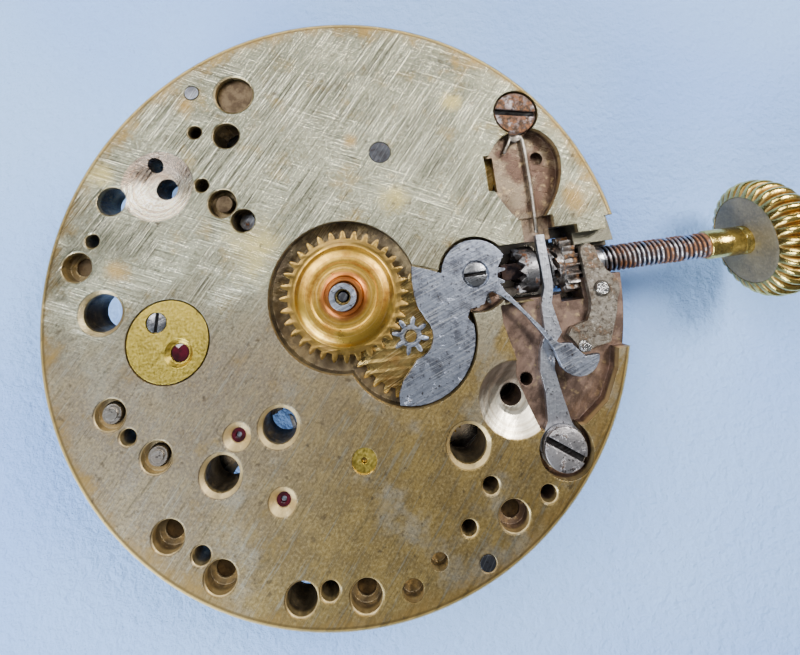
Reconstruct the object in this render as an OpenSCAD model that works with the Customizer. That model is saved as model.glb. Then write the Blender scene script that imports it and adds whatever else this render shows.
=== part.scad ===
// Chronograph watch movement, seen from its dial side.
// The frame has its origin at the plate's centre on the dial face, +X along the stem,
// +Y to 12 o'clock and +Z out of the dial face. All lengths are millimetres.

/* [Main plate] */
// Radius of the main plate, half of 13 lignes
plate_r = 14.65; // [14.6:0.01:14.8]
// Thickness of the main plate
plate_t = 2.5; // [2.45:0.01:2.55]
// Bevel round the rim of the plate
plate_bevel = 0.12; // [0.05:0.01:0.2]
// Depth of the recess for the motion work
motion_recess_d = 1.2; // [1.15:0.01:1.3]
// Radius of the recess under the hour wheel
hour_recess_r = 3.76; // [3.6:0.01:3.9]
// Radius of the recess under the minute wheel
minute_recess_r = 3.35; // [3.3:0.01:3.5]
// Depth of the recess for the setting parts
setting_recess_d = 0.95; // [0.92:0.01:1.0]
// Radius of the holes for the dial feet
foot_hole_r = 0.55; // [0.45:0.01:0.6]
// Radius of the conical seat round each dial foot
foot_seat_r = 1.85; // [1.7:0.01:1.9]
// Depth of the conical seat round each dial foot
foot_seat_d = 0.5; // [0.3:0.01:0.7]

/* [Motion work] */
// Pitch module of the motion work
motion_module = 0.195; // [0.193:0.001:0.196]
// Thickness of the hour wheel's toothed rim
hour_rim_t = 0.27; // [0.2:0.01:0.3]
// Height of the hour wheel's dome above its rim
hour_dome_h = 0.35; // [0.25:0.01:0.4]
// Radius of the hour wheel's dome
hour_dome_r = 2.45; // [2.3:0.01:2.6]
// Outer radius of the hour wheel's pipe
hour_pipe_r = 0.95; // [0.9:0.01:1.1]
// Height of the hour wheel's pipe above the dial face
hour_pipe_h = 0.15; // [0.1:0.01:0.2]
// Radius of the cannon pinion's seat for the minute hand
cannon_r = 0.66; // [0.65:0.01:0.68]
// Length of the seat for the minute hand
cannon_seat_l = 0.7; // [0.6:0.01:0.72]
// Radius of the cannon pinion's tube inside the hour wheel
cannon_tube_r = 0.5; // [0.49:0.01:0.51]
// Radius of the bore through the cannon pinion
cannon_bore_r = 0.4; // [0.38:0.01:0.41]
// Height of the cannon pinion's tube above the dial face
cannon_h = 0.9; // [0.7:0.01:1.2]
// Thickness of the minute wheel
minute_wheel_t = 0.25; // [0.2:0.01:0.25]
// Radius of the post that the minute wheel turns on
minute_post_r = 0.27; // [0.2:0.01:0.3]

/* [Winding and setting] */
// Depth of the stem's axis below the dial face
stem_d = 1.92; // [1.9:0.01:1.94]
// Radius of the stem in its bearing
stem_r = 0.72; // [0.66:0.01:0.74]
// Half the width of the square on the stem
stem_square = 0.42; // [0.36:0.01:0.44]
// Length of the stem's travel when the crown is pulled out
stem_travel = 0.6; // [0.5:0.01:0.6]
// Pitch of the thread on the stem
thread_pitch = 0.27; // [0.26:0.01:0.3]
// Distance from the plate's centre to the outer end of the stem
stem_end = 20.2; // [20.0:0.1:20.6]
// Distance from the plate's centre to the crown's inner face
crown_x = 22.6; // [22.3:0.1:22.8]
// Radius of the crown
crown_r = 3.3; // [3.0:0.01:3.4]
// Length of the crown along the stem
crown_l = 2.4; // [2.2:0.1:2.6]
// Number of flutes round the crown
crown_flutes = 32; // [24:1:36]
// Radius of the tube between the crown and the stem
crown_tube_r = 0.8; // [0.75:0.01:0.9]
// Radius of the winding pinion over its teeth
winding_r = 1.5; // [1.45:0.01:1.52]
// Radius of the castle pinion
castle_r = 1.25; // [1.22:0.01:1.28]
// Thickness of the setting cover and its spring arm
cover_t = 0.38; // [0.3:0.01:0.4]
// Radius of the setting cover's round head
cover_head_r = 1.75; // [1.65:0.01:1.8]
// Thickness of the setting lever
lever_t = 0.38; // [0.3:0.01:0.4]
// Radius of the setting lever's detent pin
detent_r = 0.2; // [0.15:0.01:0.21]
// Thickness of the yoke
yoke_t = 0.35; // [0.3:0.01:0.36]
// Radius of the head of the yoke's screw
yoke_screw_r = 1.05; // [0.95:0.01:1.1]
// Radius of the wire of the setting spring
wire_r = 0.11; // [0.08:0.01:0.13]

/* [Barrel] */
// Pitch module of the barrel's teeth
barrel_module = 0.1577; // [0.157:0.0001:0.158]
// Height of the barrel
barrel_h = 1.3; // [1.2:0.01:1.32]
// Wall thickness of the barrel drum
barrel_wall = 0.4; // [0.3:0.01:0.5]
// Thickness of the mainspring
spring_t = 0.14; // [0.1:0.01:0.16]
// Turns of the mainspring
spring_turns = 7; // [5:1:8]
// Radius of the barrel arbor's core
arbor_core_r = 1.3; // [1.1:0.01:1.4]
// Radius of the barrel arbor's pivots
arbor_pivot_r = 0.55; // [0.5:0.01:0.6]

/* [Going train] */
// Pitch module of the centre wheel
centre_module = 0.12; // [0.119:0.0005:0.1205]
// Pitch module of the third wheel
third_module = 0.1; // [0.099:0.0005:0.1005]
// Pitch module of the fourth wheel
fourth_module = 0.0935; // [0.093:0.0005:0.094]
// Thickness of each train wheel
wheel_t = 0.16; // [0.12:0.01:0.18]
// Radius of the train wheels' pivots
pivot_r = 0.12; // [0.1:0.01:0.15]
// Radius of the train wheels' arbors
arbor_r = 0.22; // [0.2:0.01:0.25]
// Width of the rim of each train wheel
rim_w = 0.45; // [0.35:0.01:0.6]

/* [Escapement and balance] */
// Radius of the escape wheel over its teeth
escape_r = 3.13; // [3.1:0.01:3.15]
// Distance from the pallet arbor to the balance staff
fork_reach = 4.82; // [4.8:0.01:4.84]
// Radius of the balance over its rim
balance_r = 4.5; // [4.3:0.01:4.55]
// Height of the balance rim
balance_h = 0.42; // [0.3:0.01:0.45]
// Width of the balance rim
balance_rim_w = 0.5; // [0.4:0.01:0.6]
// Number of screws round the balance rim
balance_screws = 14; // [10:2:16]
// Turns of the hairspring
hair_turns = 10; // [8:1:11]
// Thickness of the hairspring's blade
hair_t = 0.05; // [0.04:0.01:0.06]
// Radius of the jewels of the train
jewel_r = 0.6; // [0.5:0.01:0.65]

/* [Bridges] */
// Thickness of the train bridge
bridge_t = 0.65; // [0.55:0.01:0.68]
// Depth of the back face of the bridges below the dial face
bridge_back = 3.95; // [3.9:0.01:3.98]
// Radius of the heads of the bridge screws
screw_head_r = 0.85; // [0.7:0.01:0.9]
// Radius of the shanks of the bridge screws
screw_r = 0.45; // [0.4:0.01:0.5]
// Height of the heads of the bridge screws
screw_head_h = 0.4; // [0.3:0.01:0.45]

/* [Chronograph] */
// Radius of the seconds runner over its teeth
runner_r = 3.0; // [2.95:0.01:3.02]
// Radius of the coupling wheel over its teeth
coupling_r = 1.1; // [1.05:0.01:1.12]
// Radius of the minute recorder over its teeth
recorder_r = 2.2; // [2.0:0.01:2.25]
// Largest radius of the heart cams
heart_r = 1.1; // [1.0:0.01:1.15]
// Thickness of the chronograph levers
chrono_lever_t = 0.32; // [0.25:0.01:0.34]
// Radius of the column wheel
column_r = 1.5; // [1.4:0.01:1.55]
// Number of columns on the column wheel
columns = 6; // [5:1:8]
// Thickness of the chronograph bridge
chrono_bridge_t = 0.5; // [0.45:0.01:0.55]
// Depth of the movement's back below the dial face
back_d = 6.15; // [6.05:0.01:6.2]

/* [Fits] */
// Running clearance between a pivot or tube and its hole
run_gap = 0.03; // [0.02:0.005:0.05]
// Clearance between flat parts that pass each other
pass_gap = 0.08; // [0.05:0.01:0.1]
// Visible gap round parts let into the plate
inlay_gap = 0.12; // [0.08:0.01:0.15]

/* [Hidden] */
$fn = 48;
// Extra length of every cutting shape past the face that it opens
over = 0.5;

function polar(r, a) = [r * cos(a), r * sin(a)];
function arc(c, r, a0, a1, n) = [for (i = [0:n]) c + polar(r, a0 + (a1 - a0) * i / n)];
function unit(v) = v / norm(v);
function left_of(v) = [-v[1], v[0]];
// Moves a clockwise outline outwards by d, each corner along its mitre
function grown(p, d) = [for (i = [0:len(p) - 1])
    let (n = len(p),
         u = left_of(unit(p[i] - p[(i + n - 1) % n])),
         v = left_of(unit(p[(i + 1) % n] - p[i])))
    p[i] + d * (u + v) / (1 + u * v)];
// Smooth closed curve through the given points, with n steps between neighbours
function loop_curve(p, n) = [for (i = [0:len(p) - 1]) for (k = [0:n - 1])
    let (m = len(p), t = k / n, a = p[(i + m - 1) % m], b = p[i], c = p[(i + 1) % m], d = p[(i + 2) % m],
         bend = 2 * a - 5 * b + 4 * c - d,
         twist = 3 * b - a - 3 * c + d)
    (2 * b + (c - a) * t + bend * t * t + twist * t * t * t) / 2];

// Teeth of the motion work
cannon_teeth = 10;
minute_teeth = 30;
minute_leaves = 8;
hour_teeth = 32;
setting_teeth = 16;
// Teeth of the going train
barrel_teeth = 84;
centre_leaves = 12;
centre_teeth = 80;
third_leaves = 10;
third_teeth = 75;
fourth_leaves = 10;
fourth_teeth = 80;
escape_leaves = 8;
escape_teeth = 15;
// Teeth of the winding work
winding_teeth = 18;
crown_wheel_teeth = 36;
ratchet_teeth = 45;
winding_module = 0.2;
// Teeth of the chronograph work
driving_teeth = 96;
coupling_teeth = 34;
recorder_teeth = 60;

// Places of the arbors, each found from the wheels that mesh there
minute_dir = -38.0;
minute_at = polar(motion_module * (minute_teeth + cannon_teeth) / 2, minute_dir);
setting_dir = 35.2;
setting_at = minute_at + polar(motion_module * (minute_teeth + setting_teeth) / 2, setting_dir);
barrel_dir = 69.3;
barrel_at = polar(barrel_module * (barrel_teeth + centre_leaves) / 2, barrel_dir);
third_dir = -56.6;
third_at = polar(centre_module * (centre_teeth + third_leaves) / 2, third_dir);
fourth_dir = -132.0;
fourth_at = third_at + polar(third_module * (third_teeth + fourth_leaves) / 2, fourth_dir);
escape_dir = -163.3;
escape_at = fourth_at + polar(fourth_module * (fourth_teeth + escape_leaves) / 2, escape_dir);
escapement_dir = 121;
fork_at = escape_at + polar(escape_r / cos(30), escapement_dir);
balance_at = fork_at + polar(fork_reach, escapement_dir);
crown_wheel_dir = -42.8;
crown_wheel_at = barrel_at + polar(winding_module * (ratchet_teeth + crown_wheel_teeth) / 2, crown_wheel_dir);

// Levels below the dial face, each measured to the face nearer the dial
motion_floor = motion_recess_d;
minute_wheel_z = motion_floor - 0.1;
minute_wheel_top = minute_wheel_z - minute_wheel_t;
hour_rim_z = minute_wheel_top - 0.1;
hour_rim_top = hour_rim_z - hour_rim_t;
yoke_z = setting_recess_d - 0.02;
lever_z = setting_recess_d - 0.1;
train_z1 = plate_t + pass_gap;
train_z2 = train_z1 + wheel_t + pass_gap;
train_z3 = train_z2 + wheel_t + pass_gap;
barrel_top = plate_t + 0.2;
bridge_front = bridge_back - bridge_t;
barrel_bridge_front = train_z2 + wheel_t + pass_gap;
winding_z = barrel_bridge_front + 0.4;
winding_wheel_t = 0.33;
winding_back = winding_z + 0.02 + winding_wheel_t;
balance_z = bridge_front + 0.05;
// The chronograph work lies between the bridges and the heads of its screws, thinned to fit that room
chrono_wheel_t = 0.16;
lever_rise = 0.05;
hammer_rise = 0.19;
bridge_rise = 0.18;
chrono_bridge_back = back_d - screw_head_h;
chrono_room = lever_rise + chrono_lever_t + pass_gap + chrono_wheel_t + hammer_rise + chrono_lever_t
    + bridge_rise + chrono_bridge_t;
thinned = (chrono_bridge_back - bridge_back) / chrono_room;
lever_h = chrono_lever_t * thinned;
fine_wheel_h = chrono_wheel_t * thinned;
chrono_z1 = bridge_back + lever_rise * thinned;
chrono_z2 = chrono_z1 + lever_h + pass_gap * thinned;
chrono_z3 = chrono_z2 + fine_wheel_h + hammer_rise * thinned;
chrono_bridge_z = chrono_bridge_back - chrono_bridge_t * thinned;

// Places on the dial side
foot_at = [[-8.5, 6.55], [7.65, -5.85]];
foot_seat_at = [[-8.82, 6.68], [7.75, -6.0]];
endpiece_at = balance_at + [-0.49, 0.6];
endpiece_r = 1.94;
endpiece_screw_at = balance_at + [-0.99, 1.56];
endpiece_screw_r = 0.48;
endpiece_t = 0.55;
lever_pivot = [13.28, -1.38];
detent_at = [11.79, -4.1];
stud_at = [12.85, 0];
stud_r = 0.2;
yoke_pivot = [9.82, -8.62];
spring_screw_at = [10.25, 8.4];
spring_screw_r = 1.12;

// Places of the screws that hold the bridges, and the depth of their ends
screw_end_d = 0.95;
barrel_bridge_screws = [[-4.65, 11.15], [-5.62, 5.4], [12.7, -3.0], [12.85, 4.1]];
train_bridge_screws = [[-6.8, -11.5], [6.81, -11.05], [-0.42, -13.25]];
pallet_bridge_screw = [-9.02, -9.5];
cock_screw = [-12.85, 3.1];
plate_screw_at = [[-11.43, -3.95], [-9.4, -6.1]];

// Places of the chronograph work
recorder_at = [-4.65, 4.4];
hammer_pivot = [7.4, -4.4];
column_at = [7.6, -8.0];
operating_pivot = [3.6, -12.6];
brake_pivot = [9.9, 9.2];
chrono_feet = [[-6.3, 8.6], [4.6, -4.6], [9.6, 6.6]];
driving_pitch_r = runner_r * driving_teeth / (driving_teeth + 2);
coupling_pitch_r = coupling_r * coupling_teeth / (coupling_teeth + 2);
coupling_reach = driving_pitch_r + coupling_pitch_r + 0.04;
// Angle of the coupling wheel about the fourth arbor when it meets the runner, and at rest
centre_reach = norm(fourth_at);
runner_reach = runner_r + coupling_r + 0.02;
coupling_meet = atan2(-fourth_at[1], -fourth_at[0])
    - acos((pow(coupling_reach, 2) + pow(centre_reach, 2) - pow(runner_reach, 2))
           / (2 * coupling_reach * centre_reach));
coupling_rest = coupling_meet - 4.5;
coupling_at = fourth_at + polar(coupling_reach, coupling_rest);

// Plain column from depth z0 down to depth z1 at a place
module column(at, r, z0, z1) translate([at[0], at[1], -z1]) cylinder(r = r, h = z1 - z0);
// Flat piece of the given 2D outline from depth z0 down to depth z1
module layer(z0, z1) translate([0, 0, -z1]) linear_extrude(z1 - z0) children();
// Outline of a round-ended band of half width r along a list of points
function heading(v) = atan2(v[1], v[0]);
function mitre(p, i) =
    let (u = left_of(unit(p[i] - p[i - 1])), v = left_of(unit(p[i + 1] - p[i])))
    (u + v) / (1 + u * v);
function band(p, r) = let (n = len(p) - 1, a = heading(p[1] - p[0]), b = heading(p[n] - p[n - 1])) concat(
    arc(p[0], r, a + 90, a + 270, 12),
    [for (i = [1:1:n - 1]) p[i] - r * mitre(p, i)],
    arc(p[n], r, b - 90, b + 90, 12),
    [for (i = [n - 1:-1:1]) p[i] + r * mitre(p, i)]);
module path(p, r) polygon(band(p, r));
module bar(p, q, r) path([p, q], r);
// Straight slot across a screw head
module slot(at, r, z0, depth, angle) translate([at[0], at[1], -z0 - depth]) rotate(angle)
    translate([-r - over, -r * 0.14, 0]) cube([2 * (r + over), r * 0.28, depth]);

// Outline of a toothed wheel, with one tooth centred on angle 0
function tooth(a, pitch, root_r, tip_r, root_w, tip_w) = [
    polar(root_r, a - root_w * pitch), polar(tip_r, a - tip_w * pitch),
    polar(tip_r, a + tip_w * pitch), polar(root_r, a + root_w * pitch)];
function gear_outline(teeth, pm, root_w, tip_w) = [for (i = [0:teeth - 1])
    each tooth(i * 360 / teeth, 360 / teeth, pm * (teeth / 2 - 1.2), pm * (teeth / 2 + 0.9), root_w, tip_w)];
module gear_2d(teeth, pm) polygon(gear_outline(teeth, pm, 0.3, 0.11));
module leaves_2d(teeth, pm) polygon(gear_outline(teeth, pm, 0.22, 0.08));
module setting_gear_2d() polygon(gear_outline(setting_teeth, motion_module, 0.27, 0.09));
// Angle that turns a gap of a wheel towards direction a
function gap_to(a, teeth) = a + 180 / teeth;
// Spoked train wheel, with a tooth towards direction a
module train_wheel(teeth, pm, spokes, hub_r, a) {
    rim_r = pm * teeth / 2 - rim_w;
    rotate(a) difference() {
        gear_2d(teeth, pm);
        circle(rim_r);
    }
    circle(hub_r);
    for (i = [0:spokes - 1]) rotate(a + (i + 0.5) * 360 / spokes)
        translate([0, -rim_w * 0.4]) square([rim_r + rim_w / 2, rim_w * 0.8]);
}

// Outline of the setting cover: round head, spring arm with its notched end, and the lower blade
head_r = cover_head_r;
blade_r = 3.2;
leaf_gap_r = 1.12;
arm_end = [11.25, -4.33];
cover_outline = concat(
    [[3.55, 1.0], [4.3, 0.75]],
    arc(setting_at, head_r, 171, 27, 12),
    [[7.9, 0.35], [7.8, -0.2], [8.1, -0.85], [8.55, -1.4], [9.0, -2.0], [9.7, -2.9], [10.15, -3.5],
     [10.4, -3.72], [11.0, -3.8], [11.58, -4.5]],
    arc(arm_end, 1.08, -8, -150, 8),
    [[10.04, -3.85], [9.6, -3.1], [9.0, -2.2], [8.4, -1.5], [7.85, -1.0]],
    arc([7.42, -1.08], 0.33, 20, 165, 5),
    [[6.95, -1.32], [6.2, -1.48], [6.0, -1.85]],
    arc(minute_at, blade_r, 2, -107, 12),
    [[2.15, -5.0], [2.45, -4.35], [2.85, -3.95]],
    arc(minute_at, leaf_gap_r, -82, 40, 8),
    [[3.6, -1.0], [3.5, -0.5], [3.48, 0.3]]);

// Outline of the recess that holds the yoke and the setting lever, open at the rim
setting_recess = [[9.5, 2.7], [11.25, 2.7], [11.25, 1.6], [15.5, 1.6], [15.5, -4.3], [13.35, -4.35],
    [13.1, -5.3], [12.3, -6.7], [11.0, -7.6], [8.75, -7.6], [8.05, -4.95], [8.1, -4.1], [7.75, -2.4],
    [7.75, -1.5], [9.5, -1.5]];
// Egg-shaped recess beside the barrel, and the two points of the slit in its wall
egg_outline = loop_curve([[8.1, 5.3], [8.6, 6.5], [9.6, 7.3], [11.1, 7.4], [12.15, 6.2], [12.0, 4.4],
    [10.9, 2.7], [9.8, 2.35], [8.8, 3.5]], 4);
egg_d = 0.85;
// Place of the castle pinion's teeth, and of the groove for the yoke
castle_face = 9.25;
groove_x0 = 10.25;
groove_x1 = 10.9;
castle_end = 11.2;
winding_face = 11.25;
winding_rim = 11.7;
winding_end = 12.4;
stem_collar = 12.55;
stem_round_start = castle_end + 0.02;
thread_start = 14.05;

// Windows with a bevelled edge: place and radius
windows = [[-11.73, 0.75, 0.92], [5.15, -7.7, 0.9], [-3.7, -5.6, 0.82], [-6.52, -7.3, 0.82]];
// Plain holes right through the plate: place and radius
through_holes = [[-6.8, 9.32, 0.35], [-5.2, 8.95, 0.68], [-11.1, 6.2, 0.72], [-6.6, 6.47, 0.36],
    [-12.08, 4.3, 0.35], [-10.65, -5.05, 0.38], [-7.6, -10.5, 0.42], [-3.31, -12.92, 0.71],
    [-2.03, -12.8, 0.43], [4.62, -11.23, 0.37], [5.92, -9.6, 0.4], [8.6, -10.35, 0.4],
    [-8.95, 7.85, 0.38], [8.67, -5.35, 0.33]];
// Shallow holes: place and radius
blind_holes = [[1.7, -13.35, 0.5], [3.05, -12.38, 0.4]];
blind_d = 0.8;
egg_hole_at = [11.2, 5.88];
pin_at = [[-6.82, 11.48], [5.25, -12.8]];
pin_r = 0.36;

module hole(at, r) column(at, r, -over, plate_t + over);
module pocket(at, r, d) column(at, r, -over, d);
// Cone that opens a hole of radius r towards the dial face
module countersink(at, r, d) translate([at[0], at[1], -d]) cylinder(r1 = r, r2 = r + d, h = d);

module plate_blank() rotate_extrude($fn = 180) polygon([
    [0, 0], [plate_r - plate_bevel, 0], [plate_r, -plate_bevel],
    [plate_r, plate_bevel - plate_t], [plate_r - plate_bevel, -plate_t], [0, -plate_t]]);

module motion_cuts() {
    pocket([0, 0], hour_recess_r, motion_floor);
    pocket(minute_at, minute_recess_r, motion_floor);
    pocket(setting_at, setting_teeth * motion_module / 2 + 0.35, motion_floor);
    layer(-over, cover_t) polygon(grown(cover_outline, inlay_gap));
    hole([0, 0], centre_hole_r);
    pocket(setting_at, 0.5, cover_screw_d);
}

module setting_cuts() {
    layer(-over, setting_recess_d) polygon(setting_recess);
    pocket(yoke_pivot, yoke_screw_r + 0.3, setting_recess_d);
    hole(yoke_pivot, 0.5);
    hole(lever_pivot, 0.4);
    // Slots for the castle pinion and the winding pinion
    translate([castle_face - 1.25, -castle_r - 0.2, -plate_t - over])
        cube([castle_end + 0.1 - castle_face + 1.25, 2 * castle_r + 0.4, plate_t + 2 * over]);
    translate([winding_face - 0.05, -winding_r - 0.35, -plate_t - over])
        cube([winding_end + 0.08 - winding_face, 2 * winding_r + 0.9, plate_t + 2 * over]);
    // Slot that leaves the stem bare out to the rim, and the open edge round the lever
    translate([stem_collar - 0.15, -stem_r - run_gap, -stem_d]) cube([3, 2 * stem_r + 0.3, stem_d + over]);
    translate([13.95, -4.3, -setting_recess_d]) cube([2, 6.6, setting_recess_d + over]);
    // Bearing of the stem and blind bore for its pilot
    translate([stem_collar - 0.2, 0, -stem_d]) rotate([0, 90, 0]) cylinder(r = stem_r + run_gap, h = 4);
    translate([6.6, 0, -stem_d]) rotate([0, 90, 0]) cylinder(r = stem_pilot_r + run_gap, h = 2);
}

module upper_cuts() {
    layer(-over, egg_d) polygon(egg_outline);
    // Slit that opens the recess to the barrel's teeth
    intersection() {
        layer(0, plate_t) translate([8.1, 4.3]) square([0.65, 1.9]);
        column(barrel_at, barrel_tip_r + 0.1, -over, plate_t);
    }
    pocket(egg_hole_at, 0.35, egg_d + 0.5);
    pocket(spring_screw_at, spring_screw_r + 0.1, egg_d);
    hole(spring_screw_at, 0.6);
}

module jewel_cuts() {
    for (p = [fork_at, escape_at]) {
        column(p, jewel_r, jewel_d, plate_t + over);
        hole(p, jewel_window_r);
        countersink(p, jewel_window_r, jewel_d);
    }
    hole(fourth_at, jewel_r);
    pocket(endpiece_at, endpiece_r + pass_gap, endpiece_t);
    hole(balance_at, jewel_r);
    pocket(endpiece_screw_at, 0.3, plate_t - 0.5);
    hole(third_at, pivot_r + run_gap);
    hole(barrel_at, arbor_pivot_r + run_gap);
    hole(recorder_at, 0.6);
    countersink(recorder_at, 0.6, 0.06);
}

module dial_foot_cuts() for (i = [0:1]) {
    hole(foot_at[i], foot_hole_r);
    translate([foot_seat_at[i][0], foot_seat_at[i][1], -foot_seat_d])
        cylinder(r1 = foot_seat_r * 0.45, r2 = foot_seat_r, h = foot_seat_d + 0.001);
}

module plain_cuts() {
    for (w = windows) {
        hole(w, w[2]);
        countersink(w, w[2], 0.22);
    }
    for (h = through_holes) {
        hole(h, h[2]);
        countersink(h, h[2], 0.08);
    }
    for (h = blind_holes) pocket(h, h[2], blind_d);
    for (p = pin_at) {
        hole(p, pin_r);
        countersink(p, pin_r, 0.06);
    }
    for (i = [0:2]) hole(barrel_bridge_screws[i], screw_r);
    // The last screw of the barrel bridge ends under the dial face
    column(barrel_bridge_screws[3], screw_r, screw_end_d - 0.1, plate_t + over);
    sunk_screws = concat(train_bridge_screws, [pallet_bridge_screw, cock_screw]);
    for (p = sunk_screws) hole(p, screw_r);
    for (p = concat(sunk_screws, [barrel_bridge_screws[1]])) {
        pocket(p, screw_pocket_r, screw_pocket_d);
        countersink(p, screw_pocket_r, 0.08);
    }
    for (p = plate_screw_at) {
        pocket(p, screw_pocket_r, stud_pocket_d);
        countersink(p, screw_pocket_r, 0.08);
        pocket(p, stud_end_r + 0.08, stud_end_d);
    }
    pocket(barrel_bridge_screws[0], 0.98, 0.7);
    countersink(barrel_bridge_screws[0], 0.98, 0.12);
}

// Pockets in the plate's back for the barrel and for the pinions that reach into it
module back_cuts() {
    column(barrel_at, barrel_tip_r + 0.1, barrel_front - 0.05, plate_t + over);
    column([0, 0], centre_module * 12, plate_t - 0.35, plate_t + over);
}

stem_pilot_r = 0.3;
centre_hole_r = 0.8;
// Depth of the jewels that show in the dial face, and radius of the opening in front of them
jewel_d = 0.35;
jewel_window_r = 0.33;
jewel_t = 0.5;
cover_screw_r = 0.6;
cover_screw_d = 1.55;
screw_pocket_r = 0.72;
screw_pocket_d = 0.85;
stud_pocket_d = 0.45;
stud_end_r = 0.44;
stud_end_d = 0.8;
barrel_tip_r = barrel_module * (barrel_teeth / 2 + 0.9);
barrel_front = barrel_top - barrel_h;

module main_plate() color("Tan") difference() {
    plate_blank();
    motion_cuts();
    setting_cuts();
    upper_cuts();
    jewel_cuts();
    dial_foot_cuts();
    plain_cuts();
    back_cuts();
}

// Ring jewel set flush in the plate's countersink
module jewel(at, r, bore, z0, t) difference() {
    column(at, r, z0, z0 + t);
    column(at, bore, z0 - over, z0 + t + over);
}
module plate_jewels() color("Crimson") {
    for (p = [fork_at, escape_at]) jewel(p, jewel_r, pivot_r + run_gap, jewel_d, jewel_t);
    jewel(balance_at, jewel_r, pivot_r + run_gap, plate_t - 0.6, jewel_t);
}
module fourth_bush() color("Goldenrod") jewel(fourth_at, jewel_r, pivot_r + run_gap, 0.1, plate_t - 0.1);
module plate_pins() color("Silver") for (p = pin_at) column(p, pin_r, 0, plate_t);
module slotted_screw(at, head_r, z0, head_h, shank_r, z1, angle) {
    difference() {
        column(at, head_r, z0, z0 + head_h);
        slot(at, head_r, z0 - over, head_h * 0.5 + over, angle);
    }
    column(at, shank_r, z0 + head_h, z1);
}
// Stepped ends of two screws, with a groove round each at the bottom of its pocket
module plate_screws() color("DimGray") for (p = plate_screw_at) {
    column(p, stud_end_r, 0.2, stud_end_d);
    column(p, 0.28, 0.12, 0.2);
}
module endpiece() color("Goldenrod") difference() {
    column(endpiece_at, endpiece_r, 0.02, endpiece_t);
    column(endpiece_screw_at, endpiece_screw_r + 0.03, -over, 0.3);
    column(endpiece_screw_at, 0.3, 0, endpiece_t + over);
    column(balance_at, 0.45, -over, endpiece_t + over);
    countersink(balance_at, 0.5, 0.2);
}
module cap_jewel() color("DarkRed") column(balance_at, 0.45, 0.2, endpiece_t);
module endpiece_screw() color("SteelBlue")
    slotted_screw(endpiece_screw_at, endpiece_screw_r, 0.05, 0.25, 0.28, plate_t - 0.6, 80);

// Motion work
module hour_wheel() color("Goldenrod") difference() {
    union() {
        layer(hour_rim_top, hour_rim_z) rotate(minute_dir) gear_2d(hour_teeth, motion_module);
        translate([0, 0, -hour_rim_top]) rotate_extrude() polygon(concat(
            [[0, 0], [hour_dome_r, 0]],
            [for (a = [10:10:50]) [1.7 + (hour_dome_r - 1.7) * cos(a * 1.6), hour_dome_h * sin(a * 1.6)]],
            [[1.7, hour_dome_h], [1.66, hour_dome_h - 0.06], [hour_pipe_r, hour_dome_h],
             [hour_pipe_r, hour_rim_top + hour_pipe_h], [0, hour_rim_top + hour_pipe_h]]));
    }
    column([0, 0], cannon_tube_r + run_gap, -5, 5);
}
module cannon_pinion() color("SlateGray") difference() {
    union() {
        column([0, 0], cannon_r, -cannon_h, cannon_seat_l - cannon_h);
        column([0, 0], cannon_tube_r, -cannon_h, motion_floor - 0.05);
        layer(minute_wheel_top - 0.05, motion_floor - 0.05) leaves_2d_at(cannon_teeth, minute_dir);
    }
    column([0, 0], cannon_bore_r, -cannon_h - over, plate_t);
}
module leaves_2d_at(teeth, a) rotate(gap_to(a, teeth)) leaves_2d(teeth, motion_module);
module minute_wheel() color("Goldenrod") difference() {
    translate(minute_at) layer(minute_wheel_top, minute_wheel_z)
        rotate(minute_dir + 180) gear_2d(minute_teeth, motion_module);
    column(minute_at, minute_post_r + run_gap, 0, plate_t);
}
module minute_pinion() color("Gold") difference() {
    translate(minute_at) layer(hour_rim_top - 0.1, minute_wheel_top)
        rotate(gap_to(minute_dir + 180, minute_leaves)) leaves_2d(minute_leaves, motion_module);
    column(minute_at, minute_post_r + run_gap, 0, plate_t);
}
module minute_post() color("Silver") column(minute_at, minute_post_r, 0.2, motion_floor);
module setting_wheel() color("Silver") difference() {
    translate(setting_at) layer(minute_wheel_top, minute_wheel_z)
        rotate(gap_to(setting_dir + 180, setting_teeth)) setting_gear_2d();
    column(setting_at, 0.6 + run_gap, 0, plate_t);
}
module setting_cover() color("SlateGray") difference() {
    layer(0, cover_t) polygon(cover_outline);
    column(setting_at, cover_screw_r + 0.1, -over, 0.2);
    column(setting_at, 0.4, 0, plate_t);
}
module cover_screw() color("SteelBlue") {
    slotted_screw(setting_at, cover_screw_r, 0.02, 0.18, 0.4, cover_t, 0);
    column(setting_at, 0.6, cover_t, motion_floor);
    column(setting_at, 0.5, motion_floor, cover_screw_d);
}

// Winding and setting
lever_outline = concat(
    [[12.52, 0.55], [12.6, 0.85], [12.95, 1.0], [13.3, 0.8], [13.45, 0.1], [13.7, -0.5]],
    arc(lever_pivot, 0.95, 55, -40, 6),
    [[13.85, -2.6], [13.55, -3.3], [13.2, -4.1], [12.4, -4.2]],
    arc(detent_at, 0.32, -50, -190, 5),
    [[11.3, -3.75], [11.1, -3.45], [11.35, -3.1], [12.2, -2.9], [12.5, -2.4], [12.6, -1.9]]);
module setting_lever() color("DarkSlateGray") {
    layer(lever_z - lever_t, lever_z) polygon(lever_outline);
    column(detent_at, detent_r, 0.05, lever_z - lever_t);
    column(stud_at, stud_r, lever_z, stem_d - stem_groove_r - 0.05);
    column(lever_pivot, 0.4 - run_gap, lever_z, plate_t);
    difference() {
        column(lever_pivot, 0.4, lever_z - lever_t - 0.15, lever_z - lever_t);
        slot(lever_pivot, 0.4, 0, lever_z - lever_t - 0.05, 20);
    }
}
stem_groove_r = 0.42;

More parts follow.
